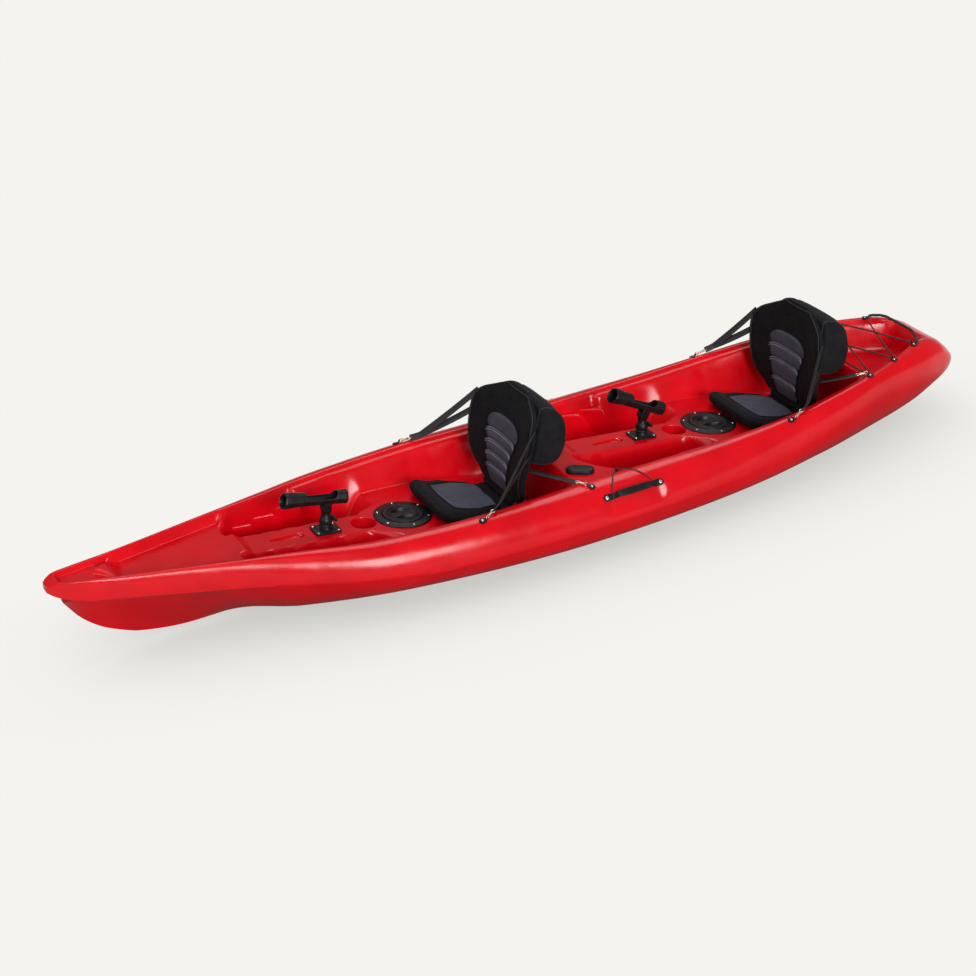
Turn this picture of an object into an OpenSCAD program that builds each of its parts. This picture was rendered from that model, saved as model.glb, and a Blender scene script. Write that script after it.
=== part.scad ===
// Tandem sit-on-top kayak: moulded shell with two cockpits, seats, hatches,
// rod holders and deck fittings. Millimetres, +X to the bow, +Y to port,
// +Z up, origin on the floor under the middle of the keel.

/* [Hull] */
// Length from stern to nose
hull_length = 3700; // [3500:10:3900]
// Greatest beam
hull_beam = 860; // [820:5:920]
// Wall of the moulded shell
shell_wall = 5; // [4:0.5:6]
// Height of the gunwale crest amidships
gunwale_height = 281; // [270:1:310]
// Rise of the crest towards the nose
bow_rise = 54; // [30:1:90]
// Rise of the crest towards the stern
stern_rise = 64; // [30:1:90]
// Height of the widest line amidships
chine_height = 150; // [130:1:170]
// Width of the flat under the keel
keel_flat = 80; // [40:2:120]

/* [Cockpits] */
// Distance between the front and rear seats
seat_spacing = 1293; // [1280:1:1320]
// Distance of the front seat from amidships
front_seat_x = 180; // [160:1:200]
// Height of the seat pans at their front
pan_height = 168; // [155:1:180]
// Fall of the seat pans towards their rear
pan_dip = 64; // [40:1:70]
// Height of the foot well floors
foot_floor = 80; // [60:1:110]
// Depth of the deck between the cockpits below the crest
deck_recess = 12; // [6:1:20]
// Depth of the bow tray below the crest
tray_recess = 36; // [20:1:50]
// Height of the tank well floor
tank_floor = 225; // [180:1:250]
// Rise angle of the consoles towards the bow
console_pitch = 6.3; // [4:0.1:8]
// Half width of the console tops
console_half = 66; // [60:1:80]

/* [Console fittings] */
// Distance from seat to hatch
hatch_offset = 368; // [360:1:370]
// Distance from seat to cup holder
cup_offset = 521; // [515:1:525]
// Distance from seat to rod holder
rod_offset = 666; // [655:1:680]
// Distance from seat to the middle of the console slot
slot_offset = 812; // [800:1:825]
// Bore of the cup holders
cup_bore = 90; // [70:1:96]
// Depth of the cup holders
cup_depth = 80; // [50:1:95]
// Length of the console slots
slot_length = 130; // [90:1:150]
// Width of the console slots
slot_width = 36; // [24:1:50]
// Depth of the console slots
slot_depth = 10; // [6:0.5:16]

/* [Hatches] */
// Outer diameter of the hatch ring
hatch_outer = 212; // [200:1:224]
// Opening of the hatch ring
hatch_opening = 152; // [140:1:160]
// Height of the ring's flange above the deck
hatch_flange = 6; // [4:0.5:10]
// Depth of the ring's neck below the deck
hatch_neck = 24; // [18:1:40]
// Thickness of the lid
lid_thick = 9; // [7:0.5:14]
// Width of the lid's grip bar
grip_width = 26; // [18:1:40]
// Screws round each hatch
hatch_screw_count = 6; // [4:1:8]

/* [Rod holders] */
// Length of the base plate
base_length = 96; // [80:1:110]
// Width of the base plate
base_width = 76; // [66:1:84]
// Thickness of the base plate
base_thick = 7; // [5:0.5:12]
// Diameter of the boss on the plate
boss_d = 44; // [38:1:54]
// Height of the boss
boss_height = 10; // [6:0.5:16]
// Diameter of the swivel spigot
spigot_d = 18; // [14:0.5:24]
// Height of the swivel spigot
spigot_height = 14; // [10:0.5:18]
// Diameter of the post
post_d = 34; // [30:1:40]
// Height of the tilt pin above the console
pivot_height = 84; // [80:1:120]
// Diameter of the tilt pin
pivot_d = 10; // [8:0.5:14]
// Bore of the rod tube
rod_bore = 43; // [38:1:50]
// Wall of the rod tube
rod_wall = 4; // [3:0.5:6]
// Length of the rod tube
rod_length = 238; // [200:1:280]
// Tilt of the front rod tube
front_rod_tilt = 12; // [0:1:30]
// Tilt of the rear rod tube
rear_rod_tilt = 28; // [0:1:35]
// Height of the clamping knob above the console
knob_height = 42; // [40:1:56]
// Span of the knob's wings
knob_span = 44; // [30:1:60]

/* [Flush rod sockets] */
// Distance of the sockets behind the front seat
socket_offset = 246; // [235:1:270]
// Distance of the sockets from the centreline
socket_side = 209; // [195:1:220]
// Bore of the sockets
socket_bore = 43; // [38:1:48]
// Wall of the sockets
socket_wall = 3; // [2:0.5:4]
// Length of the sockets along their axis
socket_length = 190; // [120:1:210]
// Lean of the sockets from the vertical
socket_lean = 30; // [15:1:35]
// Turn of the sockets outboard from dead aft
socket_turn = 39; // [20:1:50]
// Length of the oval flange
flange_length = 104; // [96:1:120]
// Width of the oval flange
flange_width = 58; // [54:1:70]
// Thickness of the oval flange
flange_thick = 4; // [3:0.5:6]
// Thickness of the socket cap
cap_thick = 7; // [5:0.5:12]

/* [Seats] */
// Length of the seat cushion
cushion_length = 276; // [260:1:280]
// Width of the seat cushion
cushion_width = 372; // [320:1:400]
// Thickness of the cushion at its edge
cushion_thick = 46; // [36:1:54]
// Width of the cushion at its rear
cushion_waist = 262; // [250:1:300]
// Crown of the cushion's inset panel
cushion_crown = 6; // [0:0.5:8]
// Height of the back above its hinge
back_height = 413; // [380:1:430]
// Greatest width of the back
back_width = 470; // [400:1:490]
// Thickness of the back
back_thick = 40; // [30:1:48]
// Forward reach of the back's wings
wing_reach = 42; // [20:1:50]
// Height of the back hinge above the seat pan
hinge_height = 58; // [52:1:66]
// Radius of the rolled hem at the hinge
hem_radius = 13; // [10:0.5:16]
// Distance of the front back's hinge behind its seat
front_setback = 20; // [0:1:30]
// Distance of the rear back's hinge behind its seat
rear_setback = 0; // [0:1:30]
// Lean of the front seat back
front_lean = 14; // [5:1:18]
// Lean of the rear seat back
rear_lean = 5; // [3:1:14]
// Width of the pack
pack_width = 306; // [240:1:310]
// Height of the pack
pack_height = 230; // [190:1:240]
// Depth of the pack
pack_depth = 136; // [90:1:140]
// Width of the strap webbing
strap_width = 25; // [20:1:38]
// Thickness of the strap webbing
strap_thick = 2.5; // [1.5:0.5:4]

/* [Deck fittings] */
// Diameter of a padeye's button
eye_d = 26; // [22:1:32]
// Height of a padeye's button
eye_height = 5; // [4:0.5:8]
// Wire of a padeye's loop
loop_wire = 4; // [3:0.5:5]
// Length of a seat hook
hook_length = 50; // [44:1:70]
// Distance between the screws of a carry handle
handle_span = 220; // [180:1:260]
// Width of the handle's strap
handle_width = 26; // [20:1:34]
// Finger gap behind the handle
handle_gap = 14; // [8:1:24]
// Thickness of the handle's strap
handle_thick = 8; // [5:0.5:12]
// Diameter of the bungee cord
bungee_d = 6; // [4:0.5:8]
// Diameter of the stern handle's cord
stern_cord_d = 11; // [8:0.5:14]

/* [Hidden] */
// Gap between pieces that rest on one another
seat_gap = 0.3;
// Radial running clearance of pins and shafts
running_gap = 0.05;
// Overlap of a cut past a face
past = 1;
$fn = 48;

half_length = hull_length / 2;
half_beam = hull_beam / 2;

// Lines of the hull: place along the half length, then a share of the size named
beam_line = [[-1, .06], [-.99, .2], [-.965, .33], [-.92, .43], [-.86, .525], [-.75, .645], [-.62, .785],
    [-.45, .89], [-.25, .975], [-.03, 1], [.15, .985], [.3, .935], [.43, .845], [.55, .68], [.64, .54],
    [.76, .38], [.87, .25], [.95, .15], [.98, .105], [.995, .07], [1, .04]];
crest_line = [[-1, .03], [-.985, .1], [-.95, .19], [-.92, .265], [-.86, .36], [-.8, .477], [-.72, .593],
    [-.62, .68], [-.5, .744], [-.35, .758], [-.12, .735], [0, .744], [.21, .763], [.415, .68], [.5575, .535],
    [.67, .4256], [.85, .2326], [.95, .135], [.98, .093], [1, .025]];
sheer_line = [[-1, -1.19], [-.985, -.72], [-.965, -.1], [-.94, .48], [-.9, .875], [-.86, 1], [-.8, .95],
    [-.72, .81], [-.62, .58], [-.5, .27], [-.35, .06], [-.2, .03], [0, 0], [.21, 0], [.415, .07],
    [.5575, .31], [.67, .48], [.85, .76], [.95, .96], [.98, 1.03], [.995, .96], [1, .86]];
chine_line = [[-1, .35], [-.973, .65], [-.92, .87], [-.86, 1], [-.75, .96], [-.62, .7], [-.45, .22],
    [-.25, .04], [0, 0], [.3, .05], [.43, .2], [.55, .36], [.64, .52], [.76, .67], [.87, .83],
    [.95, .95], [.98, 1.12], [1, 1.29]];
keel_line = [[-1, 1], [-.973, .836], [-.92, .576], [-.86, .333], [-.75, .12], [-.6, 0], [-.5, 0], [.55, 0],
    [.65, .09], [.76, .1], [.84, .197], [.878, .309], [.9135, .46], [.9465, .6875], [.973, .98]];
fullness_line = [[-1, 1.9], [-.6, 2], [-.3, 2.2], [0, 2.25], [.3, 1.85], [.43, 1.8], [.55, 1.68], [.64, 1.3],
    [.72, 1], [.8, .98], [1, 1]];
chine_rise = 118;
stern_keel_rise = 165;
bow_keel_rise = 245;

// Smooth curve through the points of a line
function line_slope(line, i) =
    let (a = max(i - 1, 0), b = min(i + 1, len(line) - 1))
    (line[b][1] - line[a][1]) / (line[b][0] - line[a][0]);
function line_span(line, s, i = 0) =
    i >= len(line) - 2 || s <= line[i + 1][0] ? i : line_span(line, s, i + 1);
function curve(line, s) =
    let (i = line_span(line, s), p = line[i], q = line[i + 1], h = q[0] - p[0], t = (s - p[0]) / h,
        m = line_slope(line, i) * h, n = line_slope(line, i + 1) * h)
    p[1] * (2 * t^3 - 3 * t^2 + 1) + m * (t^3 - 2 * t^2 + t) + q[1] * (3 * t^2 - 2 * t^3) + n * (t^3 - t^2);
function share(x) = x / half_length;
function half_width(x) = half_beam * curve(beam_line, share(x));
function crest_y(x) = half_beam * curve(crest_line, share(x));
function crest_z(x) = gunwale_height + (x < 0 ? stern_rise : bow_rise) * curve(sheer_line, share(x));
function chine_z(x) = chine_height + chine_rise * curve(chine_line, share(x));
function keel_z(x) = max(0, (x < 0 ? stern_keel_rise : bow_keel_rise) * curve(keel_line, share(x)));
function fullness(x) = curve(fullness_line, share(x));

// Smooth step between two places, and a blend between two values
function step_to(a, b, x) = let (t = min(1, max(0, (x - a) / (b - a)))) t * t * (3 - 2 * t);
function blend(a, b, t) = a + (b - a) * t;

// Deck surface inside the gunwale crest
rear_seat_x = front_seat_x - seat_spacing;
pan_rear = -190;
pan_wall = 80;
foot_end = 950;
foot_wall = 70;
end_round = 110;
end_reach = 220;
well_wall = 62;
ledge_step = 680;
ledge_run = 30;
wide_ledge = 30;
narrow_ledge = 10;
console_start = 240;
console_flank = 34;
console_neck = [60, 170];
foot_start = 420;
foot_ramp = 110;
hatch_margin = 14;
hatch_half = hatch_outer / 2 + hatch_margin;
tank_rear = -1690;
tank_front = -1300;
tank_end_wall = 60;
tank_ledge = 22;
tank_side_wall = 45;
tray_rear = 1150;
tray_inset = 190;
tray_front = half_length - tray_inset;
nose_deck = 40;
tray_rear_step = 40;
tray_front_step = 90;
stern_fade = [-1700, -1600];
rim_flat = 4;
rim_slope = 22;
function console_z(u) = pan_height + max(0, u - console_start) * tan(console_pitch);
pan_low = -40;
function pan_fall(u) = pan_dip * min(1, max(0, (console_start - u) / (console_start - pan_low)));
function pan_z(u) = console_z(u) - pan_fall(u);
pan_slope = atan(pan_dip / (console_start - pan_low));
function console_edge(u) =
    blend(hatch_half, console_half, step_to(hatch_offset + console_neck[0], hatch_offset + console_neck[1], u));
function ledge(u) = blend(wide_ledge, narrow_ledge, step_to(ledge_step, ledge_step + ledge_run, u));
function cockpit_floor(u, y) =
    let (edge = console_edge(u),
        foot = step_to(edge, edge + console_flank, abs(y)) * step_to(foot_start, foot_start + foot_ramp, u))
    blend(pan_z(u), foot_floor, foot);
function foot_end_at(y) = foot_end - end_round * (max(0, abs(y) - console_half) / end_reach)^2;
function cockpit_mask(u, x, y) =
    let (edge = crest_y(x) - ledge(u), end = foot_end_at(y))
    step_to(pan_rear, pan_rear + pan_wall, u) * step_to(end + foot_wall, end, u)
        * step_to(edge, edge - well_wall, abs(y));
function tank_mask(x, y) =
    let (edge = crest_y(x) - tank_ledge)
    step_to(tank_rear, tank_rear + tank_end_wall, x) * step_to(tank_front, tank_front - tank_end_wall, x)
        * step_to(edge, edge - tank_side_wall, abs(y));
function recess(x) = blend(deck_recess, tray_recess, step_to(tray_rear, tray_rear + tray_rear_step, x))
    * step_to(stern_fade[0], stern_fade[1], x) * step_to(tray_front, tray_front - tray_front_step, x);
function base_z(x, y) =
    let (edge = crest_y(x) - rim_flat)
    crest_z(x) - recess(x) * step_to(edge, edge - rim_slope, abs(y));
function deck_z(x, y) =
    let (uf = x - front_seat_x, ur = x - rear_seat_x, z0 = base_z(x, y),
        z1 = blend(z0, cockpit_floor(uf, y), cockpit_mask(uf, x, y)),
        z2 = blend(z1, cockpit_floor(ur, y), cockpit_mask(ur, x, y)))
    blend(z2, tank_floor, tank_mask(x, y));

// Gunwale from the crest (0 degrees) down to the widest line (90 degrees)
function gunwale(x, turn, wall = 0) = [x, crest_y(x) + (half_width(x) - crest_y(x) - wall) * sin(turn),
    chine_z(x) + (crest_z(x) - wall - chine_z(x)) * cos(turn)];
function gunwale_tilt(x, turn) = atan2((crest_z(x) - chine_z(x)) * sin(turn),
    (half_width(x) - crest_y(x)) * cos(turn));

// Wall measured straight down, thicker where the deck is steep
slope_reach = 4;
wall_limit = 4;
function deck_wall(x, y) =
    let (d = slope_reach, gx = (deck_z(x + d, y) - deck_z(x - d, y)) / (2 * d),
        gy = (deck_z(x, y + d) - deck_z(x, y - d)) / (2 * d))
    shell_wall * min(wall_limit, sqrt(1 + gx * gx + gy * gy));

// Stations along the hull: the ends, then every place where the deck changes
stern_stations = [for (s = [-1, -.993, -.98, -.96, -.937]) s * half_length];
tank_stations = [tank_rear, tank_rear + tank_end_wall / 2, tank_rear + tank_end_wall, -1570, -1500, -1430,
    tank_front - tank_end_wall, tank_front - tank_end_wall / 2];
foot_turn = 40;
neck_wall = 4;
neck_outer = hatch_opening + 2 * neck_wall;
cup_outer = cup_bore + 2 * shell_wall;
cup_margin = 2;
cup_block = cup_outer + 2 * cup_margin;
console_break = (hatch_offset + neck_outer / 2 + cup_offset - cup_block / 2) / 2;
cockpit_stations = [pan_rear, pan_rear + pan_wall / 2, pan_rear + pan_wall, pan_low, 40, 120, 200, console_start, 340,
    foot_start, console_break, foot_start + foot_ramp / 2, foot_start + foot_ramp, 600, ledge_step,
    ledge_step + ledge_run, 780, 860, foot_end - foot_turn, foot_end, foot_end + foot_wall / 2, foot_end + foot_wall];
tray_stations = [1270, 1340, 1420, 1500, 1570, tray_front - tray_front_step / 2, tray_front,
    tray_front + nose_deck];
bow_stations = [for (s = [.942, .96, .973, .985, .995, 1]) s * half_length];
stations = concat(stern_stations, tank_stations, [for (u = cockpit_stations) rear_seat_x + u],
    [for (u = cockpit_stations) front_seat_x + u], tray_stations, bow_stations);
hull_stations = [for (x = stations) if (x <= bow_stations[2]) x];
// Lines across the deck, held to the console and to the crest, then down the gunwale
console_lines = [0, console_half / 2, console_half, console_half + console_flank, hatch_half];
crest_offsets = [92, 61, 30, 10, 0];
turns = [15, 30, 45, 67.5, 90];
squeeze_from = 240;
line_count = len(console_lines) + 1 + len(crest_offsets);
hull_turns = [0, 22, 42, 60, 78];
keel_share = .3;
keel_fade = [.3, .58];
stem_half = 7;
function keel_half(x) =
    blend(min(keel_flat / 2, half_width(x) * keel_share), stem_half, step_to(keel_fade[0], keel_fade[1], share(x)));
function line_y(x, k) =
    let (c = crest_y(x), squeeze = min(1, c / squeeze_from), n = len(console_lines),
        inner = hatch_half * squeeze, outer = c - crest_offsets[0] * squeeze)
    k < n ? console_lines[k] * squeeze : k == n ? (inner + outer) / 2 : c - crest_offsets[k - n - 1] * squeeze;
deck_lines = concat([for (i = [len(turns) - 1:-1:0]) [1, turns[i]]], [for (k = [line_count - 1:-1:0]) [0, k, 1]],
    [for (k = [1:line_count - 1]) [0, k, -1]], [for (t = turns) [-1, t]]);

function deck_point(x, line, wall) =
    line[0] == 0
        ? let (y = line[2] * line_y(x, line[1]), rim = line[1] == line_count - 1,
            drop = wall == 0 ? 0 : rim ? wall : deck_wall(x, y))
            [x, y, deck_z(x, y) - drop]
        : let (p = gunwale(x, line[1], wall)) [x, line[0] * p[1], p[2]];
function hull_point(x, turn, side, wall) =
    let (flat = keel_half(x), power = 2 / fullness(x),
        y = flat + (half_width(x) - wall - flat) * cos(turn)^power,
        z = chine_z(x) - (chine_z(x) - keel_z(x) - wall) * sin(turn)^power)
    [x, side * y, z];
function hull_row(x, wall) =
    let (keel = [for (s = [1, -1]) [x, s * (keel_half(x) - wall / 4), keel_z(x) + wall]])
    concat([for (t = hull_turns) hull_point(x, t, 1, wall)], keel,
        [for (i = [len(hull_turns) - 1:-1:0]) hull_point(x, hull_turns[i], -1, wall)]);
function deck_row(x, wall) = [for (line = deck_lines) deck_point(x, line, wall)];

// Closed shell between an outer and an inner grid of points, solid beyond the inner grid's ends
function flat_list(rows) = [for (row = rows) each row];
function quad(a, b, c, d, flip) = flip ? [[a, c, b], [a, d, c]] : [[a, b, c], [a, c, d]];
module shell(outer, inner, first, flip) {
    n = len(outer);
    m = len(outer[0]);
    last = first + len(inner) - 1;
    e = m - 1;
    o = function (i, j) i * m + j;
    q = function (i, j) n * m + (i - first) * m + j;
    rear_end = first == 0
        ? [for (j = [0:m - 2]) each quad(o(0, j + 1), o(0, j), q(0, j), q(0, j + 1), flip)]
        : concat([for (j = [1:m - 2]) flip ? [o(0, 0), o(0, j), o(0, j + 1)] : [o(0, 0), o(0, j + 1), o(0, j)]],
            [for (j = [1:m - 2]) flip ? [q(first, 0), q(first, j + 1), q(first, j)]
                : [q(first, 0), q(first, j), q(first, j + 1)]],
            [for (i = [0:first - 2]) each quad(o(i, 0), o(i + 1, 0), o(i + 1, e), o(i, e), flip)],
            quad(o(first - 1, 0), o(first, 0), q(first, 0), q(first, e), flip),
            quad(o(first - 1, 0), q(first, e), o(first, e), o(first - 1, e), flip));
    front_end = last == n - 1
        ? [for (j = [0:m - 2]) each quad(o(last, j), o(last, j + 1), q(last, j + 1), q(last, j), flip)]
        : concat([for (j = [1:m - 2]) flip ? [o(n - 1, 0), o(n - 1, j + 1), o(n - 1, j)]
                : [o(n - 1, 0), o(n - 1, j), o(n - 1, j + 1)]],
            [for (j = [1:m - 2]) flip ? [q(last, 0), q(last, j), q(last, j + 1)]
                : [q(last, 0), q(last, j + 1), q(last, j)]],
            [for (i = [last + 1:n - 2]) each quad(o(i, 0), o(i + 1, 0), o(i + 1, e), o(i, e), flip)],
            quad(q(last, 0), o(last, 0), o(last + 1, 0), o(last + 1, e), flip),
            quad(o(last + 1, e), o(last, e), q(last, e), q(last, 0), flip));
    faces = concat(rear_end, front_end,
        [for (i = [0:n - 2], j = [0:m - 2]) each quad(o(i, j), o(i, j + 1), o(i + 1, j + 1), o(i + 1, j), flip)],
        [for (i = [first:last - 1], j = [0:m - 2])
            each quad(q(i, j), q(i, j + 1), q(i + 1, j + 1), q(i + 1, j), !flip)],
        [for (i = [first:last - 1]) each quad(o(i, 0), o(i + 1, 0), q(i + 1, 0), q(i, 0), flip)],
        [for (i = [first:last - 1]) each quad(o(i, e), o(i + 1, e), q(i + 1, e), q(i, e), !flip)]);
    polyhedron(concat(flat_list(outer), flat_list(inner)), faces, convexity = 10);
}
inner_first = 3;
deck_inner_last = len(stations) - 7;
hull_inner_last = len(hull_stations) - 4;

module on_console(seat_x, offset) {
    translate([seat_x + offset, 0, console_z(offset)]) rotate([0, -console_pitch, 0]) children();
}
module both_seats() {
    for (seat_x = [front_seat_x, rear_seat_x]) {
        $seat_x = seat_x;
        children();
    }
}
module both_sides() {
    children();
    mirror([0, 1, 0]) children();
}
module stadium(length, width) {
    reach = (length - width) / 2;
    square([2 * reach, width], center = true);
    for (s = [-1, 1]) translate([s * reach, 0]) circle(d = width);
}

// Sections of the moulding, which meet face to face at these stations
deck_breaks = [stations[0], rear_seat_x + pan_rear, rear_seat_x + console_start, rear_seat_x + console_break,
    rear_seat_x + foot_end - foot_turn, front_seat_x + pan_rear + pan_wall / 2, front_seat_x + console_start,
    front_seat_x + console_break, front_seat_x + foot_end - foot_turn, half_length];
hull_breaks = [stations[0], deck_breaks[1], deck_breaks[4], deck_breaks[8], bow_stations[2]];
function station_index(x) = len([for (s = stations) if (s < x - past) s]);
module hull_section(i) {
    a = station_index(hull_breaks[i]);
    b = station_index(hull_breaks[i + 1]);
    first = max(a, inner_first);
    color("firebrick") shell([for (k = [a:b]) hull_row(stations[k], 0)],
        [for (k = [first:min(b, hull_inner_last)]) hull_row(stations[k], shell_wall)], first - a, false);
}
module deck_section(i) {
    a = station_index(deck_breaks[i]);
    b = station_index(deck_breaks[i + 1]);
    first = max(a, inner_first);
    color("red") shell([for (k = [a:b]) deck_row(stations[k], 0)],
        [for (k = [first:min(b, deck_inner_last)]) deck_row(stations[k], shell_wall)], first - a, true);
}
cut_reach = 3 * shell_wall;
socket_cut = 16 * shell_wall;
module hatch_deck(i, seat_x) {
    color("red") difference() {
        deck_section(i);
        on_console(seat_x, hatch_offset) cylinder(d = neck_outer + 2 * seat_gap, h = 2 * cut_reach, center = true);
    }
}
module foot_deck(i, seat_x) {
    color("red") difference() {
        union() {
            deck_section(i);
            on_console(seat_x, slot_offset) translate([0, 0, -slot_depth - shell_wall])
                linear_extrude(slot_depth + shell_wall / 2)
                    stadium(slot_length + 2 * shell_wall, slot_width + 2 * shell_wall);
        }
        on_console(seat_x, slot_offset) translate([0, 0, -slot_depth])
            linear_extrude(slot_depth + shell_wall) stadium(slot_length, slot_width);
        on_console(seat_x, cup_offset) cube([cup_block, cup_block, 2 * cut_reach], center = true);
    }
}
module cup_well(seat_x) {
    color("red") on_console(seat_x, cup_offset) difference() {
        union() {
            translate([-cup_block / 2, -cup_block / 2, -shell_wall]) cube([cup_block, cup_block, shell_wall]);
            translate([0, 0, -cup_depth - shell_wall]) cylinder(d = cup_outer, h = cup_depth + shell_wall / 2);
        }
        translate([0, 0, -cup_depth]) cylinder(d = cup_bore, h = cup_depth + shell_wall);
    }
}
module middle_deck(i) {
    color("red") difference() {
        deck_section(i);
        both_sides() on_socket() rotate([0, socket_lean, 0])
            cylinder(d = socket_outer + 2 * seat_gap, h = socket_cut, center = true);
    }
}

// Hatches
hatch_r = hatch_opening / 2;
ledge_width = 10;
ledge_z = 4;
ledge_thick = 4;
gasket_thick = 3;
gasket_inset = 2;
lid_gap = 1.2;
gasket_top = seat_gap + gasket_thick - ledge_z;
lid_bottom = gasket_top + seat_gap;
lid_top = lid_bottom + lid_thick;
skirt_depth = 14;
skirt_wall = 4;
grip_depth = 5;
screw_hole = 4.6;
screw_d = 4;
screw_head_d = 9;
screw_head = 2.2;
screw_depth = 12;
hatch_screw_r = (hatch_outer / 2 + neck_outer / 2) / 2;
module hatch_ring(seat_x) {
    edge = 3;
    color("black") on_console(seat_x, hatch_offset) difference() {
        rotate_extrude() polygon([[hatch_r, hatch_flange], [hatch_outer / 2 - edge, hatch_flange],
            [hatch_outer / 2, hatch_flange - edge], [hatch_outer / 2, seat_gap], [neck_outer / 2, seat_gap],
            [neck_outer / 2, -hatch_neck], [hatch_r, -hatch_neck], [hatch_r, -ledge_z - ledge_thick],
            [hatch_r - ledge_width, -ledge_z - ledge_thick], [hatch_r - ledge_width, -ledge_z], [hatch_r, -ledge_z]]);
        around_hatch() cylinder(d = screw_hole, h = 3 * hatch_flange, center = true);
    }
}
module around_hatch() {
    for (i = [0:hatch_screw_count - 1])
        rotate([0, 0, (i + .5) * 360 / hatch_screw_count]) translate([hatch_screw_r, 0, 0]) children();
}
module hatch_gasket(seat_x) {
    color("dimgray") on_console(seat_x, hatch_offset) rotate_extrude()
        translate([hatch_r - ledge_width + gasket_inset, seat_gap - ledge_z])
            square([ledge_width - 2 * gasket_inset, gasket_thick]);
}
module hatch_lid(seat_x) {
    r = hatch_r - lid_gap;
    skirt_r = hatch_r - ledge_width - 2 * lid_gap;
    grip_r = .6 * hatch_r;
    color("black") on_console(seat_x, hatch_offset) difference() {
        rotate_extrude() polygon([[0, lid_bottom], [skirt_r - skirt_wall, lid_bottom],
            [skirt_r - skirt_wall, lid_bottom - skirt_depth], [skirt_r, lid_bottom - skirt_depth],
            [skirt_r, lid_bottom], [r, lid_bottom], [r, lid_top - 2], [r - 2, lid_top], [0, lid_top]]);
        translate([0, 0, lid_top - grip_depth]) linear_extrude(grip_depth + past) difference() {
            circle(grip_r);
            polygon([[-grip_r, -grip_width], [0, -grip_width / 2], [grip_r, -grip_width],
                [grip_r, grip_width], [0, grip_width / 2], [-grip_r, grip_width]]);
        }
    }
}
module screw(depth) {
    translate([0, 0, -depth]) cylinder(d = screw_d, h = depth + screw_head / 2);
    cylinder(d = screw_head_d, h = screw_head);
}
module hatch_screws() {
    color("silver") both_seats() on_console($seat_x, hatch_offset) around_hatch()
        translate([0, 0, hatch_flange]) screw(screw_depth);
}

// Rod holders
base_top = seat_gap + base_thick;
boss_top = base_top + boss_height;
spigot_top = boss_top + spigot_height;
post_bottom = boss_top + seat_gap;
lug_d = 30;
lug_width = 24;
ear_thick = 7;
ear_gap = .3;
ear_outer = lug_width / 2 + ear_gap + ear_thick;
rod_outer = rod_bore + 2 * rod_wall;
tube_rise = lug_d / 2 + rod_outer / 2 + 2;
tube_rear = 72;
saddle_ahead = 24;
saddle_length = 118;
mouth_gap = 2;
trough_room = 3;
saddle_width = 44;
mouth_start = saddle_ahead + saddle_length / 2 + mouth_gap;
screw_inset = 10;
knob_shaft = 6;
knob_grip = 12;
knob_hub = 18;
knob_wing = 10;
knob_plate = 6;
knob_lip = 2;
module base_corners() {
    for (i = [-1, 1], j = [-1, 1])
        translate([i * (base_length / 2 - screw_inset), j * (base_width / 2 - screw_inset), 0]) children();
}
module rod_base(seat_x) {
    color("black") on_console(seat_x, rod_offset) difference() {
        union() {
            translate([-base_length / 2, -base_width / 2, seat_gap]) cube([base_length, base_width, base_thick]);
            cylinder(d = boss_d, h = boss_top);
            cylinder(d = spigot_d, h = spigot_top);
        }
        base_corners() cylinder(d = screw_hole, h = 3 * base_thick, center = true);
        translate([0, 0, -2 * past]) cylinder(d = boss_d + past, h = seat_gap + 2 * past);
    }
}
module rod_base_screws() {
    color("silver") both_seats() on_console($seat_x, rod_offset) base_corners()
        translate([0, 0, base_top]) screw(screw_depth);
}
module rod_post(seat_x) {
    color("black") on_console(seat_x, rod_offset) difference() {
        union() {
            translate([0, 0, post_bottom]) cylinder(d = post_d, h = pivot_height - lug_d / 2 - post_bottom - 4);
            translate([-lug_d / 2, -lug_width / 2, knob_height]) cube([lug_d, lug_width, pivot_height - knob_height]);
            translate([0, 0, pivot_height]) rotate([90, 0, 0]) cylinder(d = lug_d, h = lug_width, center = true);
        }
        translate([0, 0, post_bottom - past])
            cylinder(d = spigot_d + 2 * running_gap, h = spigot_height + past + seat_gap);
        translate([0, 0, pivot_height]) rotate([90, 0, 0])
            cylinder(d = pivot_d + 2 * running_gap, h = lug_width + 2, center = true);
        translate([-post_d, 0, knob_height]) rotate([0, 90, 0])
            cylinder(d = knob_shaft + 2 * running_gap, h = post_d / 2 + knob_grip + seat_gap);
    }
}
module rod_knob(seat_x) {
    hub_x = post_d / 2 + seat_gap;
    color("black") on_console(seat_x, rod_offset) translate([0, 0, knob_height]) rotate([0, -90, 0]) {
        translate([0, 0, post_d / 2 - knob_grip]) cylinder(d = knob_shaft, h = knob_grip + knob_lip);
        translate([0, 0, hub_x]) cylinder(d = knob_hub, h = knob_wing);
        translate([-knob_plate / 2, -knob_span / 2, hub_x + knob_lip]) cube([knob_plate, knob_span, knob_wing]);
    }
}
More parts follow.
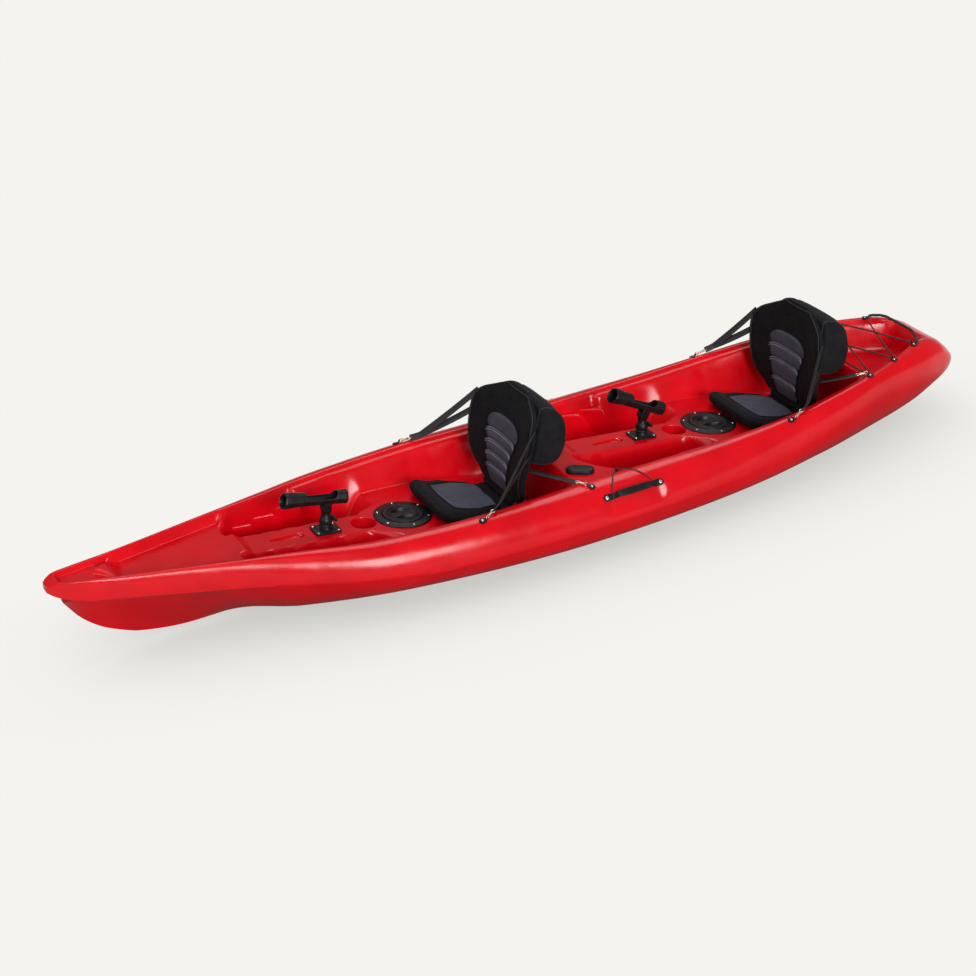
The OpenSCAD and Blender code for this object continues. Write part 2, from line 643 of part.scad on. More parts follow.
module rod_cradle(seat_x, tilt) {
    color("black") on_console(seat_x, rod_offset) translate([0, 0, pivot_height])
        rotate([0, console_pitch - tilt, 0]) {
            difference() {
                union() {
                    translate([-tube_rear, 0, tube_rise]) rotate([0, 90, 0]) cylinder(d = rod_outer, h = rod_length);
                    for (s = [-1, 1]) translate([0, s * (ear_outer - ear_thick / 2), 0]) rotate([90, 0, 0])
                        linear_extrude(ear_thick, center = true) {
                            circle(d = lug_d);
                            translate([-lug_d / 2, 0]) square([lug_d, tube_rise]);
                        }
                }
                translate([mouth_start - past, 0, tube_rise]) rotate([0, 90, 0])
                    cylinder(d = rod_bore, h = rod_length - tube_rear - mouth_start + 2 * past);
                translate([-tube_rear - past, 0, tube_rise]) rotate([0, 90, 0])
                    cylinder(d = rod_bore + trough_room, h = tube_rear + mouth_start + past);
                translate([saddle_ahead, 0, tube_rise + saddle_width / 2 + 2]) rotate([90, 0, 0])
                    linear_extrude(2 * rod_outer, center = true) stadium(saddle_length, saddle_width);
            }
            rotate([90, 0, 0]) cylinder(d = pivot_d, h = 2 * ear_outer, center = true);
        }
}

// Flush rod sockets
socket_outer = socket_bore + 2 * socket_wall;
socket_x = front_seat_x - socket_offset;
socket_z = deck_z(socket_x, socket_side);
flange_top = seat_gap + flange_thick;
cap_barrel = 22;
module on_socket() {
    translate([socket_x, socket_side, socket_z]) rotate([0, 0, 180 - socket_turn]) children();
}
module rod_socket() {
    color("black") on_socket() difference() {
        union() {
            translate([0, 0, seat_gap]) linear_extrude(flange_thick) stadium(flange_length, flange_width);
            intersection() {
                rotate([0, socket_lean, 0]) translate([0, 0, -socket_length])
                    cylinder(d = socket_outer, h = socket_length + flange_length);
                translate([-socket_length, -socket_length, flange_top - 2 * socket_length])
                    cube(2 * socket_length);
            }
        }
        rotate([0, socket_lean, 0]) translate([0, 0, socket_wall - socket_length])
            cylinder(d = socket_bore, h = socket_length + flange_length);
    }
}
module socket_cap() {
    color("black") on_socket() translate([0, 0, flange_top + seat_gap])
        {
            linear_extrude(cap_thick) stadium(flange_length, flange_width);
            translate([flange_length / 2, 0, cap_thick / 2]) rotate([90, 0, 0])
                cylinder(d = cap_thick, h = cap_barrel, center = true);
        }
}

// Seats: rings of points around a vertical run, closed at both ends
module lofted(rings) {
    n = len(rings);
    m = len(rings[0]);
    faces = concat(
        [for (i = [0:n - 2], j = [0:m - 1]) each quad(i * m + j, i * m + (j + 1) % m, (i + 1) * m + (j + 1) % m,
            (i + 1) * m + j, true)],
        [for (j = [1:m - 2]) [0, j, j + 1]],
        [for (j = [1:m - 2]) [(n - 1) * m, (n - 1) * m + j + 1, (n - 1) * m + j]]);
    polyhedron(flat_list(rings), faces, convexity = 6);
}
function signed_power(v, p) = sign(v) * abs(v)^p;

// Cushion: share of the outline and of the thickness for each ring
cushion_rings = [[.93, 0, 0], [.985, .22, 0], [.965, .5, 0], [1, .78, 0], [.95, .97, 0], [.84, 1, 0],
    [.76, .86, 0], [.7, 1, .1], [.45, 1, .7], [.15, 1, 1]];
cushion_points = 40;
cushion_corner = .45;
cushion_rear = 14;
cushion_lift = 20;
lift_run = [190, 290];
waist_run = 170;
upstand_thick = 10;
upstand_width = 240;
strip_reach = 50;
strip_thick = 4;
// Each seat: its place, the setback of its back's hinge, and the lean of its back
front_seat = [front_seat_x, front_setback, front_lean];
rear_seat = [rear_seat_x, rear_setback, rear_lean];
function hinge_at(seat) = [seat[0] - seat[1], 0, pan_z(-seat[1]) + hinge_height];
function cushion_point(ring, k) =
    let (a = 360 * k / cushion_points,
        u = cushion_rear + cushion_length / 2 * (1 + ring[0] * signed_power(cos(a), cushion_corner)),
        width = blend(cushion_waist, cushion_width, step_to(cushion_rear, cushion_rear + waist_run, u)))
    [u, width / 2 * ring[0] * signed_power(sin(a), cushion_corner),
        pan_height - pan_fall(u) + seat_gap + cushion_lift * step_to(lift_run[0], lift_run[1], u)
            + cushion_thick * ring[1] + cushion_crown * ring[2]];
module seat_cushion(seat) {
    foot = upstand_thick / 2 - seat[1];
    top = hinge_at(seat)[2] - hem_radius - seat_gap;
    color("dimgray") translate([seat[0], 0, 0]) {
        lofted([for (ring = cushion_rings) [for (k = [0:cushion_points - 1]) cushion_point(ring, k)]]);
        translate([foot - upstand_thick, -upstand_width / 2, pan_z(foot) + seat_gap])
            cube([upstand_thick, upstand_width, top - pan_z(foot) - seat_gap]);
        translate([foot - upstand_thick / 2, -upstand_width / 2, pan_z(foot - upstand_thick / 2) + seat_gap])
            rotate([0, -pan_slope, 0]) cube([cushion_rear + strip_reach - foot, upstand_width, strip_thick]);
    }
}

// Back: half width and thickness shares up its height
back_outline = [[0, .62], [.1, .77], [.27, .88], [.45, .96], [.58, 1], [.7, .985], [.82, .83], [.9, .57], [.96, .36],
    [1, .16]];
back_body = [[0, .5], [.15, .9], [.35, 1], [.7, .9], [.9, .6], [1, .34]];
channels = [.2, .315, .42, .52];
channel_half = .012;
channel_depth = 5;
panel_half = .46;
back_points = 28;
back_round = [.8, .5];
back_foot = 2;
bulge = 6;
bulge_run = [.05, .25, .4, .62];
wing_run = [.02, .3, .75, 1];
hem_inset = 20;
back_heights = concat([0, .06, .12], [for (c = channels) each [c - channel_half, c, c + channel_half]],
    [for (i = [1:len(channels) - 1]) (channels[i - 1] + channels[i]) / 2],
    [.58, .64, .71, .78, .84, .89, .94, .975, 1]);
function sorted(list) =
    len(list) < 2 ? list : let (p = list[0])
        concat(sorted([for (v = list) if (v < p) v]), [p], sorted([for (v = list) if (v > p) v]));
function hump(run, v) = step_to(run[0], run[1], v) * step_to(run[3], run[2], v);
function in_channel(v) = len([for (c = channels) if (abs(v - c) < channel_half / 2) c]) > 0 ? 1 : 0;
function back_half(v) = back_width / 2 * curve(back_outline, v);
function back_wing(v, y) = wing_reach * (2 * y / back_width)^2 * hump(wing_run, v);
function back_point(v, k) =
    let (a = 360 * k / back_points, half = back_half(v), thick = back_thick * curve(back_body, v),
        y = half * signed_power(cos(a), back_round[0]), front = sin(a) > 0,
        swell = front ? bulge * hump(bulge_run, v) : 0,
        cut = front && abs(y) < panel_half * half ? channel_depth * in_channel(v) : 0)
    [thick / 2 * signed_power(sin(a), back_round[1]) + (thick - back_thick) / 2 + back_wing(v, y) + swell - cut, y,
        back_foot + (back_height - back_foot) * v];
module on_back(seat) {
    translate(hinge_at(seat)) rotate([0, -seat[2], 0]) children();
}
module seat_back(seat) {
    color("black") on_back(seat) {
        lofted([for (v = sorted(back_heights)) [for (k = [back_points - 1:-1:0]) back_point(v, k)]]);
        rotate([90, 0, 0]) cylinder(r = hem_radius, h = upstand_width - hem_inset, center = true);
    }
}
// Pack: its profile in shares of the depth and the height
pack_bottom = 150;
pack_profile = [[0, 0], [.7, 0], [.95, .12], [1, .4], [.85, .75], [.5, .96], [0, 1]];
module seat_pack(seat) {
    rear = -back_thick / 2 - seat_gap;
    color("black") on_back(seat) rotate([90, 0, 0]) linear_extrude(pack_width, center = true)
        translate([rear, pack_bottom]) polygon([for (p = pack_profile) [-p[0] * pack_depth, p[1] * pack_height]]);
}

// Straight band of webbing, on edge or lying flat, and a round cord along a route
module band(a, b, lying = false) {
    d = b - a;
    run = norm(d);
    size = lying ? [run, strap_width, strap_thick] : [run, strap_thick, strap_width];
    translate(a) rotate([0, -asin(d[2] / run), atan2(d[1], d[0])])
        translate([0, -size[1] / 2, -size[2] / 2]) cube(size);
}
function unit(v) = v / norm(v);
function route_way(route, i) = unit(route[min(i + 1, len(route) - 1)] - route[max(i - 1, 0)]);
function ring_at(route, i, radius, sides) =
    let (w = route_way(route, i), p = unit(cross(w, abs(w[2]) > .9 ? [1, 0, 0] : [0, 0, 1])), q = cross(w, p))
    [for (k = [0:sides - 1]) route[i] + radius * (cos(360 * k / sides) * p + sin(360 * k / sides) * q)];
module cord(route, d, sides = 8) {
    lofted([for (i = [0:len(route) - 1]) ring_at(route, i, d / 2, sides)]);
}
module torus(radius, wire) {
    rotate_extrude() translate([radius, 0]) circle(d = wire, $fn = 16);
}
function starboard(p) = [p[0], -p[1], p[2]];
function reversed(list) = [for (i = [len(list) - 1:-1:0]) list[i]];

// Padeyes along the gunwale: place, turn down the gunwale, heading of the loop, and 1 for an upright loop
eye_front = 222;
eye_rear = -215;
eye_turn = 15;
eye_list = [[front_seat_x + eye_front, eye_turn, 180, 0], [front_seat_x + eye_rear, eye_turn, -42, 0],
    [rear_seat_x + eye_front, eye_turn, 180, 0], [-1305, 0, -90, 1], [-1451, 0, -90, 1], [-1590, 0, -90, 1]];
loop_radius = bungee_d / 2 + loop_wire / 2 + seat_gap;
loop_sink = 3;
loop_tilt = 50;
function loop_lift(eye) = eye[3] == 1 ? loop_radius + loop_wire / 2 + seat_gap
    : eye_height / 2 + loop_radius * sin(loop_tilt);
module on_gunwale(x, turn) {
    translate(gunwale(x, turn)) rotate([-gunwale_tilt(x, turn), 0, 0]) children();
}
function on_gunwale_point(x, turn, p) =
    let (t = gunwale_tilt(x, turn))
    gunwale(x, turn) + [p[0], p[1] * cos(t) + p[2] * sin(t), p[2] * cos(t) - p[1] * sin(t)];
function loop_centre(eye) =
    let (reach = eye_d / 2 + loop_radius - loop_sink)
    on_gunwale_point(eye[0], eye[1], [reach * cos(eye[2]), reach * sin(eye[2]), seat_gap + loop_lift(eye)]);
module padeyes() {
    color("black") both_sides() for (eye = eye_list) on_gunwale(eye[0], eye[1]) rotate([0, 0, eye[2]])
        translate([0, 0, seat_gap]) {
            difference() {
                cylinder(d = eye_d, h = eye_height);
                translate([0, 0, -past]) cylinder(d = screw_hole, h = eye_height + 2 * past);
            }
        }
}
module padeye_loops() {
    color("black") both_sides() for (eye = eye_list) on_gunwale(eye[0], eye[1]) rotate([0, 0, eye[2]])
        translate([eye_d / 2 + loop_radius - loop_sink, 0, seat_gap + loop_lift(eye)])
            rotate([90 * eye[3], (eye[3] - 1) * loop_tilt, 0]) torus(loop_radius, loop_wire);
}
module padeye_screws() {
    color("silver") both_sides() for (eye = eye_list) on_gunwale(eye[0], eye[1])
        translate([0, 0, seat_gap + eye_height]) screw(screw_depth);
}

// Seat straps and hooks
hook_ring = 6;
hook_wire = 4;
hook_shank = 8;
strap_ring = 7;
strap_room = 9;
rear_arm_side = 17;
function arm_at(forward, height) = [forward, back_half(height / back_height) + strap_room, height];
front_arm_upper = arm_at(14, 314);
front_arm_lower = arm_at(44, 228);
rear_arm = [-10, pack_width / 2 + rear_arm_side, 148];
joint_reach = 135;
joint_side = 315;
joint_lift = 24;
function on_back_point(seat, p) = let (lean = seat[2])
    hinge_at(seat) + [p[0] * cos(lean) - p[2] * sin(lean), p[1], p[0] * sin(lean) + p[2] * cos(lean)];
function strap_joint(seat) = [seat[0] + joint_reach, joint_side, crest_z(seat[0] + joint_reach) + joint_lift];
function strap_end(from, eye) =
    let (at = loop_centre(eye)) at - (hook_length + seat_gap) * unit(at - from);
module front_straps(seat, eye) {
    joint = strap_joint(seat);
    color("black") both_sides() {
        band(on_back_point(seat, front_arm_upper), joint);
        band(on_back_point(seat, front_arm_lower), joint);
        band(joint, strap_end(joint, eye));
    }
}
module rear_straps(seat, eye) {
    from = on_back_point(seat, rear_arm);
    color("black") both_sides() band(from, strap_end(from, eye), lying = true);
}
module hook(from, eye) {
    at = loop_centre(eye);
    d = unit(at - from);
    color("goldenrod") translate(at) rotate([0, -asin(d[2]), atan2(d[1], d[0])]) {
        translate([-hook_ring, 0, 0]) rotate([90, 0, 0]) torus(hook_ring, hook_wire);
        translate([2 * strap_ring - hook_length, 0, 0]) rotate([0, 90, 0])
            cylinder(d = hook_shank, h = hook_length - 2 * strap_ring - 2 * hook_ring);
        translate([strap_ring + hook_wire / 2 - hook_length, 0, 0]) torus(strap_ring, hook_wire);
    }
}
module seat_hooks() {
    both_sides() {
        hook(strap_joint(front_seat), eye_list[0]);
        hook(on_back_point(front_seat, rear_arm), eye_list[1]);
        hook(strap_joint(rear_seat), eye_list[2]);
        hook(on_back_point(rear_seat, rear_arm), eye_list[3]);
    }
}

// Carry handles, paddle keepers, bungee, stern handle, drain plug
handle_offset = 356;
handle_x = front_seat_x - handle_offset;
handle_turn = 45;
pad_thick = 5;
pad_half = 13;
handle_run = [24, 46];
handle_foot = handle_span / 2 - handle_run[0];
handle_grip = handle_span / 2 - handle_run[1];
module carry_handle() {
    reach = handle_span / 2;
    color("black") on_gunwale(handle_x, handle_turn) translate([0, 0, seat_gap]) difference() {
        rotate([90, 0, 0]) linear_extrude(handle_width, center = true) polygon([
            [-reach - pad_half, 0], [-reach - pad_half, pad_thick], [-handle_foot, pad_thick],
            [-handle_grip, handle_gap + handle_thick], [handle_grip, handle_gap + handle_thick],
            [handle_foot, pad_thick], [reach + pad_half, pad_thick], [reach + pad_half, 0], [handle_foot, 0],
            [handle_grip, handle_gap], [-handle_grip, handle_gap], [-handle_foot, 0]]);
        for (s = [-1, 1]) translate([s * reach, 0, -past]) cylinder(d = screw_hole, h = pad_thick + 2 * past);
    }
}
module handle_screws() {
    color("silver") both_sides() on_gunwale(handle_x, handle_turn)
        for (s = [-1, 1]) translate([s * handle_span / 2, 0, seat_gap + pad_thick]) screw(screw_depth);
}
button_side = 34;
button_neck = 8;
button_d = 14;
button_height = 12;
button_head = 4;
button_y = crest_y(handle_x) - button_side;
button_z = deck_z(handle_x, button_y) + seat_gap;
module keeper_buttons() {
    color("black") both_sides() translate([handle_x, button_y, button_z]) {
        cylinder(d = button_neck, h = button_height);
        translate([0, 0, button_height - button_head]) cylinder(d = button_d, h = button_head);
    }
}
// Keeper cord: one half from the handle over the gunwale to the button, then the other
keeper_d = bungee_d - 2;
keeper_lift = keeper_d / 2 + 5 * seat_gap;
keeper_end = on_gunwale_point(handle_x, handle_turn,
    [handle_foot - 2, -handle_width / 2 - keeper_d / 2 - seat_gap, pad_thick]);
keeper_over = [[68, 25], [52, 12], [34, 0]];
keeper_bend = button_neck / 2 + keeper_d / 2 + seat_gap;
keeper_half = concat([keeper_end],
    [for (k = keeper_over) on_gunwale_point(handle_x + k[0], k[1], [0, 0, keeper_lift])],
    [for (a = [0, 45]) [handle_x + keeper_bend * cos(a), button_y - keeper_bend * sin(a), button_z + keeper_d]]);
function aft_of_handle(p) = [2 * handle_x - p[0], p[1], p[2]];
keeper_route = concat(keeper_half, [[handle_x, button_y - keeper_bend, button_z + keeper_d]],
    reversed([for (p = keeper_half) aft_of_handle(p)]));
module paddle_bungee() {
    color("black") cord(keeper_route, keeper_d);
}
// Tank bungee: laced through the stern padeyes from one side to the other
stern_eye = loop_centre(eye_list[5]);
middle_eye = loop_centre(eye_list[4]);
front_eye = loop_centre(eye_list[3]);
lace_run = 5;
lace_turn = [11, -8, 0];
lace_cross = 4;
function through(p) = [p - [lace_run, 0, 0], p, p + [lace_run, 0, 0]];
function crossing(a, b, up) = [(a + b) / 2 + [0, 0, up * lace_cross]];
lace_half = concat(through(stern_eye), crossing(stern_eye, starboard(middle_eye), 1), through(starboard(middle_eye)),
    crossing(starboard(middle_eye), front_eye, 1), through(front_eye), [front_eye + lace_turn]);
lace_return = concat(through(starboard(stern_eye)), crossing(starboard(stern_eye), middle_eye, -1),
    through(middle_eye), crossing(middle_eye, starboard(front_eye), -1), through(starboard(front_eye)),
    [starboard(front_eye + lace_turn)]);
module tank_bungee() {
    color("black") cord(concat(lace_half, reversed(lace_return)), bungee_d);
}
// Stern handle: from one rear padeye round to the other
stern_button = gunwale(eye_list[5][0], 0);
stern_end = stern_button + [-eye_d / 2 - stern_cord_d / 2 + 3 * seat_gap, 0, stern_cord_d / 2 + 3 * seat_gap];
stern_bow = [[-12, -24, 9], [-22, -56, 16], [-26, -90, 19]];
stern_half = concat([stern_end], [for (p = stern_bow) stern_end + p]);
module stern_handle() {
    color("black") cord(concat(stern_half, reversed([for (p = stern_half) starboard(p)])), stern_cord_d, 10);
}
plug_inset = 65;
plug_x = plug_inset - half_length;
plug_turn = 45;
plug_d = 26;
plug_head = 6;
plug_slot = [4, 2];
module drain_plug() {
    color("black") mirror([0, 1, 0]) on_gunwale(plug_x, plug_turn) translate([0, 0, seat_gap]) difference() {
        cylinder(d = plug_d, h = plug_head);
        translate([-plug_d, -plug_slot[0] / 2, plug_head - plug_slot[1]])
            cube([2 * plug_d, plug_slot[0], 2 * plug_slot[1]]);
    }
}
slot_eye_d = 8;
slot_eye_inset = 14;
slot_eye_drop = 2;
module slot_eyes() {
    color("silver") both_seats() on_console($seat_x, slot_offset)
        translate([slot_eye_inset - slot_length / 2, 0, seat_gap - slot_depth])
            cylinder(d = slot_eye_d, h = slot_depth - slot_eye_drop);
}

// assembly
hull_section(0);  // stern_hull
hull_section(1);  // rear_hull
hull_section(2);  // front_hull
hull_section(3);  // bow_hull
deck_section(0);  // stern_deck
deck_section(1);  // rear_seat_deck
hatch_deck(2, rear_seat_x);  // rear_hatch_deck
foot_deck(3, rear_seat_x);  // rear_foot_deck
cup_well(rear_seat_x);  // rear_cup_well
middle_deck(4);
deck_section(5);  // front_seat_deck
hatch_deck(6, front_seat_x);  // front_hatch_deck
foot_deck(7, front_seat_x);  // front_foot_deck
cup_well(front_seat_x);  // front_cup_well
deck_section(8);  // bow_deck
hatch_ring(front_seat_x);  // front_hatch_ring
hatch_ring(rear_seat_x);  // rear_hatch_ring
hatch_gasket(front_seat_x);  // front_hatch_gasket
hatch_gasket(rear_seat_x);  // rear_hatch_gasket
hatch_lid(front_seat_x);  // front_hatch_lid
hatch_lid(rear_seat_x);  // rear_hatch_lid
hatch_screws();
rod_base(front_seat_x);  // front_rod_base
rod_base(rear_seat_x);  // rear_rod_base
rod_base_screws();
rod_post(front_seat_x);  // front_rod_post
rod_post(rear_seat_x);  // rear_rod_post
rod_cradle(front_seat_x, front_rod_tilt);  // front_rod_cradle
rod_cradle(rear_seat_x, rear_rod_tilt);  // rear_rod_cradle
rod_knob(front_seat_x);  // front_rod_knob
rod_knob(rear_seat_x);  // rear_rod_knob
rod_socket();  // port_rod_socket
mirror([0, 1, 0]) rod_socket();  // starboard_rod_socket
socket_cap();  // port_socket_cap
mirror([0, 1, 0]) socket_cap();  // starboard_socket_cap
seat_cushion(front_seat);  // front_seat_cushion
seat_cushion(rear_seat);  // rear_seat_cushion
seat_back(front_seat);  // front_seat_back
seat_back(rear_seat);  // rear_seat_back
seat_pack(front_seat);  // front_seat_pack
seat_pack(rear_seat);  // rear_seat_pack
front_straps(front_seat, eye_list[0]);  // front_seat_front_straps
front_straps(rear_seat, eye_list[2]);  // rear_seat_front_straps
rear_straps(front_seat, eye_list[1]);  // front_seat_rear_straps
rear_straps(rear_seat, eye_list[3]);  // rear_seat_rear_straps
seat_hooks();
padeyes();
padeye_loops();
padeye_screws();
carry_handle();  // port_carry_handle
mirror([0, 1, 0]) carry_handle();  // starboard_carry_handle
handle_screws();
paddle_bungee();  // port_paddle_bungee
mirror([0, 1, 0]) paddle_bungee();  // starboard_paddle_bungee
keeper_buttons();
tank_bungee();
stern_handle();
drain_plug();
slot_eyes();
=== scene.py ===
"""Looks of a tandem sit-on-top kayak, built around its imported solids.

Sizes are in millimetres, in the solids' frame: +X to the bow, +Y to port, +Z up.
Meshes are scaled to metres when they are made.
"""

import logging
import math
from collections.abc import Callable, Sequence
from dataclasses import dataclass, field
from enum import Enum

import bmesh
import bpy
import numpy as np
from mathutils import Matrix, Vector
from mathutils.bvhtree import BVHTree


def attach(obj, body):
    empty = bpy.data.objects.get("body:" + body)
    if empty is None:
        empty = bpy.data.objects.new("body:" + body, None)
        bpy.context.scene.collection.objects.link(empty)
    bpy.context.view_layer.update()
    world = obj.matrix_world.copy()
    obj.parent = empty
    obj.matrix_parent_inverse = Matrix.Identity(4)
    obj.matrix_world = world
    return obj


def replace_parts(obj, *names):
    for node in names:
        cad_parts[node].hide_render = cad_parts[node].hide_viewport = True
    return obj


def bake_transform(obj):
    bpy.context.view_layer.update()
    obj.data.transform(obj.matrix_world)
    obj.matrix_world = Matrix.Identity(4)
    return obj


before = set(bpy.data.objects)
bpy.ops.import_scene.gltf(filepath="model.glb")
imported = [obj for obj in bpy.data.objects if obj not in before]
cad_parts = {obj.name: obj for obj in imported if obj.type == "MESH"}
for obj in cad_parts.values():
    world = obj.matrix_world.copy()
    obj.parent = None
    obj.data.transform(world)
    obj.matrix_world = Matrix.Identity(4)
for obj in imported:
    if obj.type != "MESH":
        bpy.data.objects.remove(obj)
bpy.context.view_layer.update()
LOG = logging.getLogger("kayak")
MM = 0.001
NOISE_SPREAD = (0.3, 0.7)
SOFT_EDGE = 60.0
FLOOR_REACH = 40.0
FLOOR_LEVEL = -0.001
SOCKET_PLACE = (-66.0, 209.0)
SOCKET_HEADING = 141.0
SOCKET_RAKE = 30.0
DECK_HALF = 328.0
Point = Sequence[float]
Piece = bpy.types.Object
Finish = bpy.types.Material
Socket = bpy.types.NodeSocket


class Berth(Enum):
    """The two paddlers' places: seat, setback of its hinge, lean of its back, channels of its panel."""

    FRONT = ("front", 180.0, 20.0, 14.0, (0.205, 0.315, 0.42, 0.52))
    REAR = ("rear", -1113.0, 0.0, 5.0, (0.22, 0.40, 0.535))

    def __init__(self, label: str, seat_x: float, setback: float, lean: float,
                 channels: tuple[float, ...]) -> None:
        """Keeps the berth's own values."""
        self.label = label
        self.seat_x = seat_x
        self.hinge_x = seat_x - setback
        self.lean = lean
        self.channels = channels


class Side(Enum):
    """The two sides of the boat, as the sign of Y."""

    PORT = 1
    STARBOARD = -1

    @property
    def flip(self) -> Matrix:
        """Turns a port piece into this side's."""
        return Matrix.Diagonal((1, self.value, 1, 1))


@dataclass
class Form:
    """A mesh in the making: points in millimetres and faces over them."""

    points: list[Point] = field(default_factory=list)
    faces: list[Sequence[int]] = field(default_factory=list)

    def add(self, other: "Form") -> "Form":
        """Appends another form.

        Args:
            other: The form to append.

        Returns:
            This form.
        """
        start = len(self.points)
        self.points.extend(other.points)
        self.faces.extend([tuple(i + start for i in face) for face in other.faces])
        return self

    def placed(self, matrix: Matrix) -> "Form":
        """Gives a copy moved by a matrix.

        Args:
            matrix: The move, in millimetres.

        Returns:
            The moved copy, with its faces turned round if the matrix mirrors.
        """
        turn = np.array(matrix.to_3x3())
        shift = np.array(matrix.translation)
        points = np.asarray(self.points, float) @ turn.T + shift
        faces = self.faces if np.linalg.det(turn) > 0 else [tuple(reversed(f)) for f in self.faces]
        return Form(points.tolist(), list(faces))

    def both_sides(self) -> "Form":
        """Gives this form and its mirror image across the centreline."""
        mirror = Matrix.Diagonal((1, -1, 1, 1))
        return Form(list(self.points), list(self.faces)).add(self.placed(mirror))


def spin(degrees: float, axis: str) -> Matrix:
    """Turn about an axis of the frame."""
    return Matrix.Rotation(math.radians(degrees), 4, axis)


def slide(x: float, y: float, z: float) -> Matrix:
    """Move along the frame's axes."""
    return Matrix.Translation((x, y, z))


def grid_faces(rows: int, columns: int, wrap: bool = False) -> list[tuple[int, int, int, int]]:
    """Lists the quads of a grid of points.

    Args:
        rows: Rows of points.
        columns: Points in a row.
        wrap: Whether each row closes on itself.

    Returns:
        The quads, as indices into the grid row by row.
    """
    reach = columns if wrap else columns - 1
    return [(i * columns + j, i * columns + (j + 1) % columns, (i + 1) * columns + (j + 1) % columns,
             (i + 1) * columns + j) for i in range(rows - 1) for j in range(reach)]


def loft(rings: Sequence[Sequence[Point]]) -> Form:
    """Joins rings of points into a skin, closed at both ends.

    Args:
        rings: Rings with the same number of points.

    Returns:
        The skin.
    """
    count = len(rings[0])
    faces: list[Sequence[int]] = list(grid_faces(len(rings), count, wrap=True))
    faces.append(tuple(range(count - 1, -1, -1)))
    faces.append(tuple((len(rings) - 1) * count + k for k in range(count)))
    return Form([tuple(p) for ring in rings for p in ring], faces)


def lathe(profile: Sequence[tuple[float, float]], steps: int = 48) -> Form:
    """Turns a profile of radius and height about Z.

    Args:
        profile: Radius and height pairs, from the bottom up on the outside.
        steps: Points round a ring.

    Returns:
        The turned form, closed where the profile ends off the axis.
    """
    turns = np.linspace(0, 2 * math.pi, steps, endpoint=False)
    rings = [[(r * math.cos(a), r * math.sin(a), z) for a in turns] for r, z in profile]
    return loft(rings)


def turned_ring(profile: Sequence[tuple[float, float]], steps: int = 96) -> Form:
    """Turns a closed profile about Z into a ring.

    Args:
        profile: Radius and height pairs round the section.
        steps: Sections round the ring.

    Returns:
        The ring.
    """
    turns = np.linspace(0, 2 * math.pi, steps, endpoint=False)
    points = [(r * math.cos(a), r * math.sin(a), z) for a in turns for r, z in profile]
    count = len(profile)
    faces = [(i * count + j, i * count + (j + 1) % count, (i + 1) % steps * count + (j + 1) % count,
              (i + 1) % steps * count + j) for i in range(steps) for j in range(count)]
    return Form(points, faces)


def torus(radius: float, wire: float, steps: int = 28, sides: int = 12) -> Form:
    """Makes a ring of round wire about Z."""
    turns = np.linspace(0, 2 * math.pi, sides, endpoint=False)
    return turned_ring([(radius + wire / 2 * math.cos(a), wire / 2 * math.sin(a)) for a in turns], steps)


def smooth_route(points: Sequence[Point], steps: int = 6) -> np.ndarray:
    """Draws a smooth curve through points.

    Args:
        points: The points it passes.
        steps: New points for each stretch.

    Returns:
        The points of the curve.
    """
    p = np.asarray(points, float)
    p = np.vstack([2 * p[0] - p[1], p, 2 * p[-1] - p[-2]])
    out = []
    for i in range(1, len(p) - 2):
        a, b, c, d = p[i - 1], p[i], p[i + 1], p[i + 2]
        for t in np.linspace(0, 1, steps, endpoint=False):
            out.append(0.5 * (2 * b + (c - a) * t + (2 * a - 5 * b + 4 * c - d) * t**2
                              + (3 * b - a - 3 * c + d) * t**3))
    out.append(p[-2])
    return np.array(out)


def carried_frames(route: np.ndarray) -> tuple[np.ndarray, np.ndarray]:
    """Carries a pair of cross directions along a route without twist.

    Args:
        route: Points of the route.

    Returns:
        The two directions at each point.
    """
    ways = np.gradient(route, axis=0)
    ways /= np.linalg.norm(ways, axis=1)[:, None]
    start = np.array([0, 0, 1.0]) if abs(ways[0][2]) < 0.9 else np.array([1.0, 0, 0])
    first = []
    last = start
    for way in ways:
        last = last - way * float(last @ way)
        last = last / np.linalg.norm(last)
        first.append(last)
    first = np.array(first)
    return first, np.cross(ways, first)


def sweep(route: np.ndarray, radius: float, sides: int = 10, strands: int = 0) -> Form:
    """Runs a round section along a route.

    Args:
        route: Points of the route.
        radius: Radius of the section.
        sides: Points round the section.
        strands: Strands of a twisted rope, or 0 for a plain cord.

    Returns:
        The swept form.
    """
    first, second = carried_frames(route)
    turns = np.linspace(0, 2 * math.pi, sides, endpoint=False)
    run = np.concatenate([[0], np.cumsum(np.linalg.norm(np.diff(route, axis=0), axis=1))])
    rings = []
    for p, a, b, s in zip(route, first, second, run):
        lay = s / (radius * 3.2)
        wave = [1 + (0.13 * math.cos(strands * (t + lay)) if strands else 0) for t in turns]
        rings.append([p + radius * w * (math.cos(t) * a + math.sin(t) * b) for t, w in zip(turns, wave)])
    return loft(rings)


def ribbon(route: np.ndarray, across: np.ndarray, width: float, thick: float) -> Form:
    """Runs a flat band of webbing along a route.

    Args:
        route: Points of the route.
        across: Direction of the width at each point.
        width: Width of the band.
        thick: Thickness of the band.

    Returns:
        The band, with rounded edges.
    """
    ways = np.gradient(route, axis=0)
    ways /= np.linalg.norm(ways, axis=1)[:, None]
    rings = []
    for p, way, side in zip(route, ways, across):
        side = side - way * float(side @ way)
        side = side / np.linalg.norm(side)
        up = np.cross(way, side)
        shape = [(1, 0), (0.94, 0.5), (0, 0.5), (-0.94, 0.5), (-1, 0), (-0.94, -0.5), (0, -0.5),
                 (0.94, -0.5)]
        rings.append([p + side * (width / 2 * a) + up * (thick * b) for a, b in shape])
    return loft(rings)


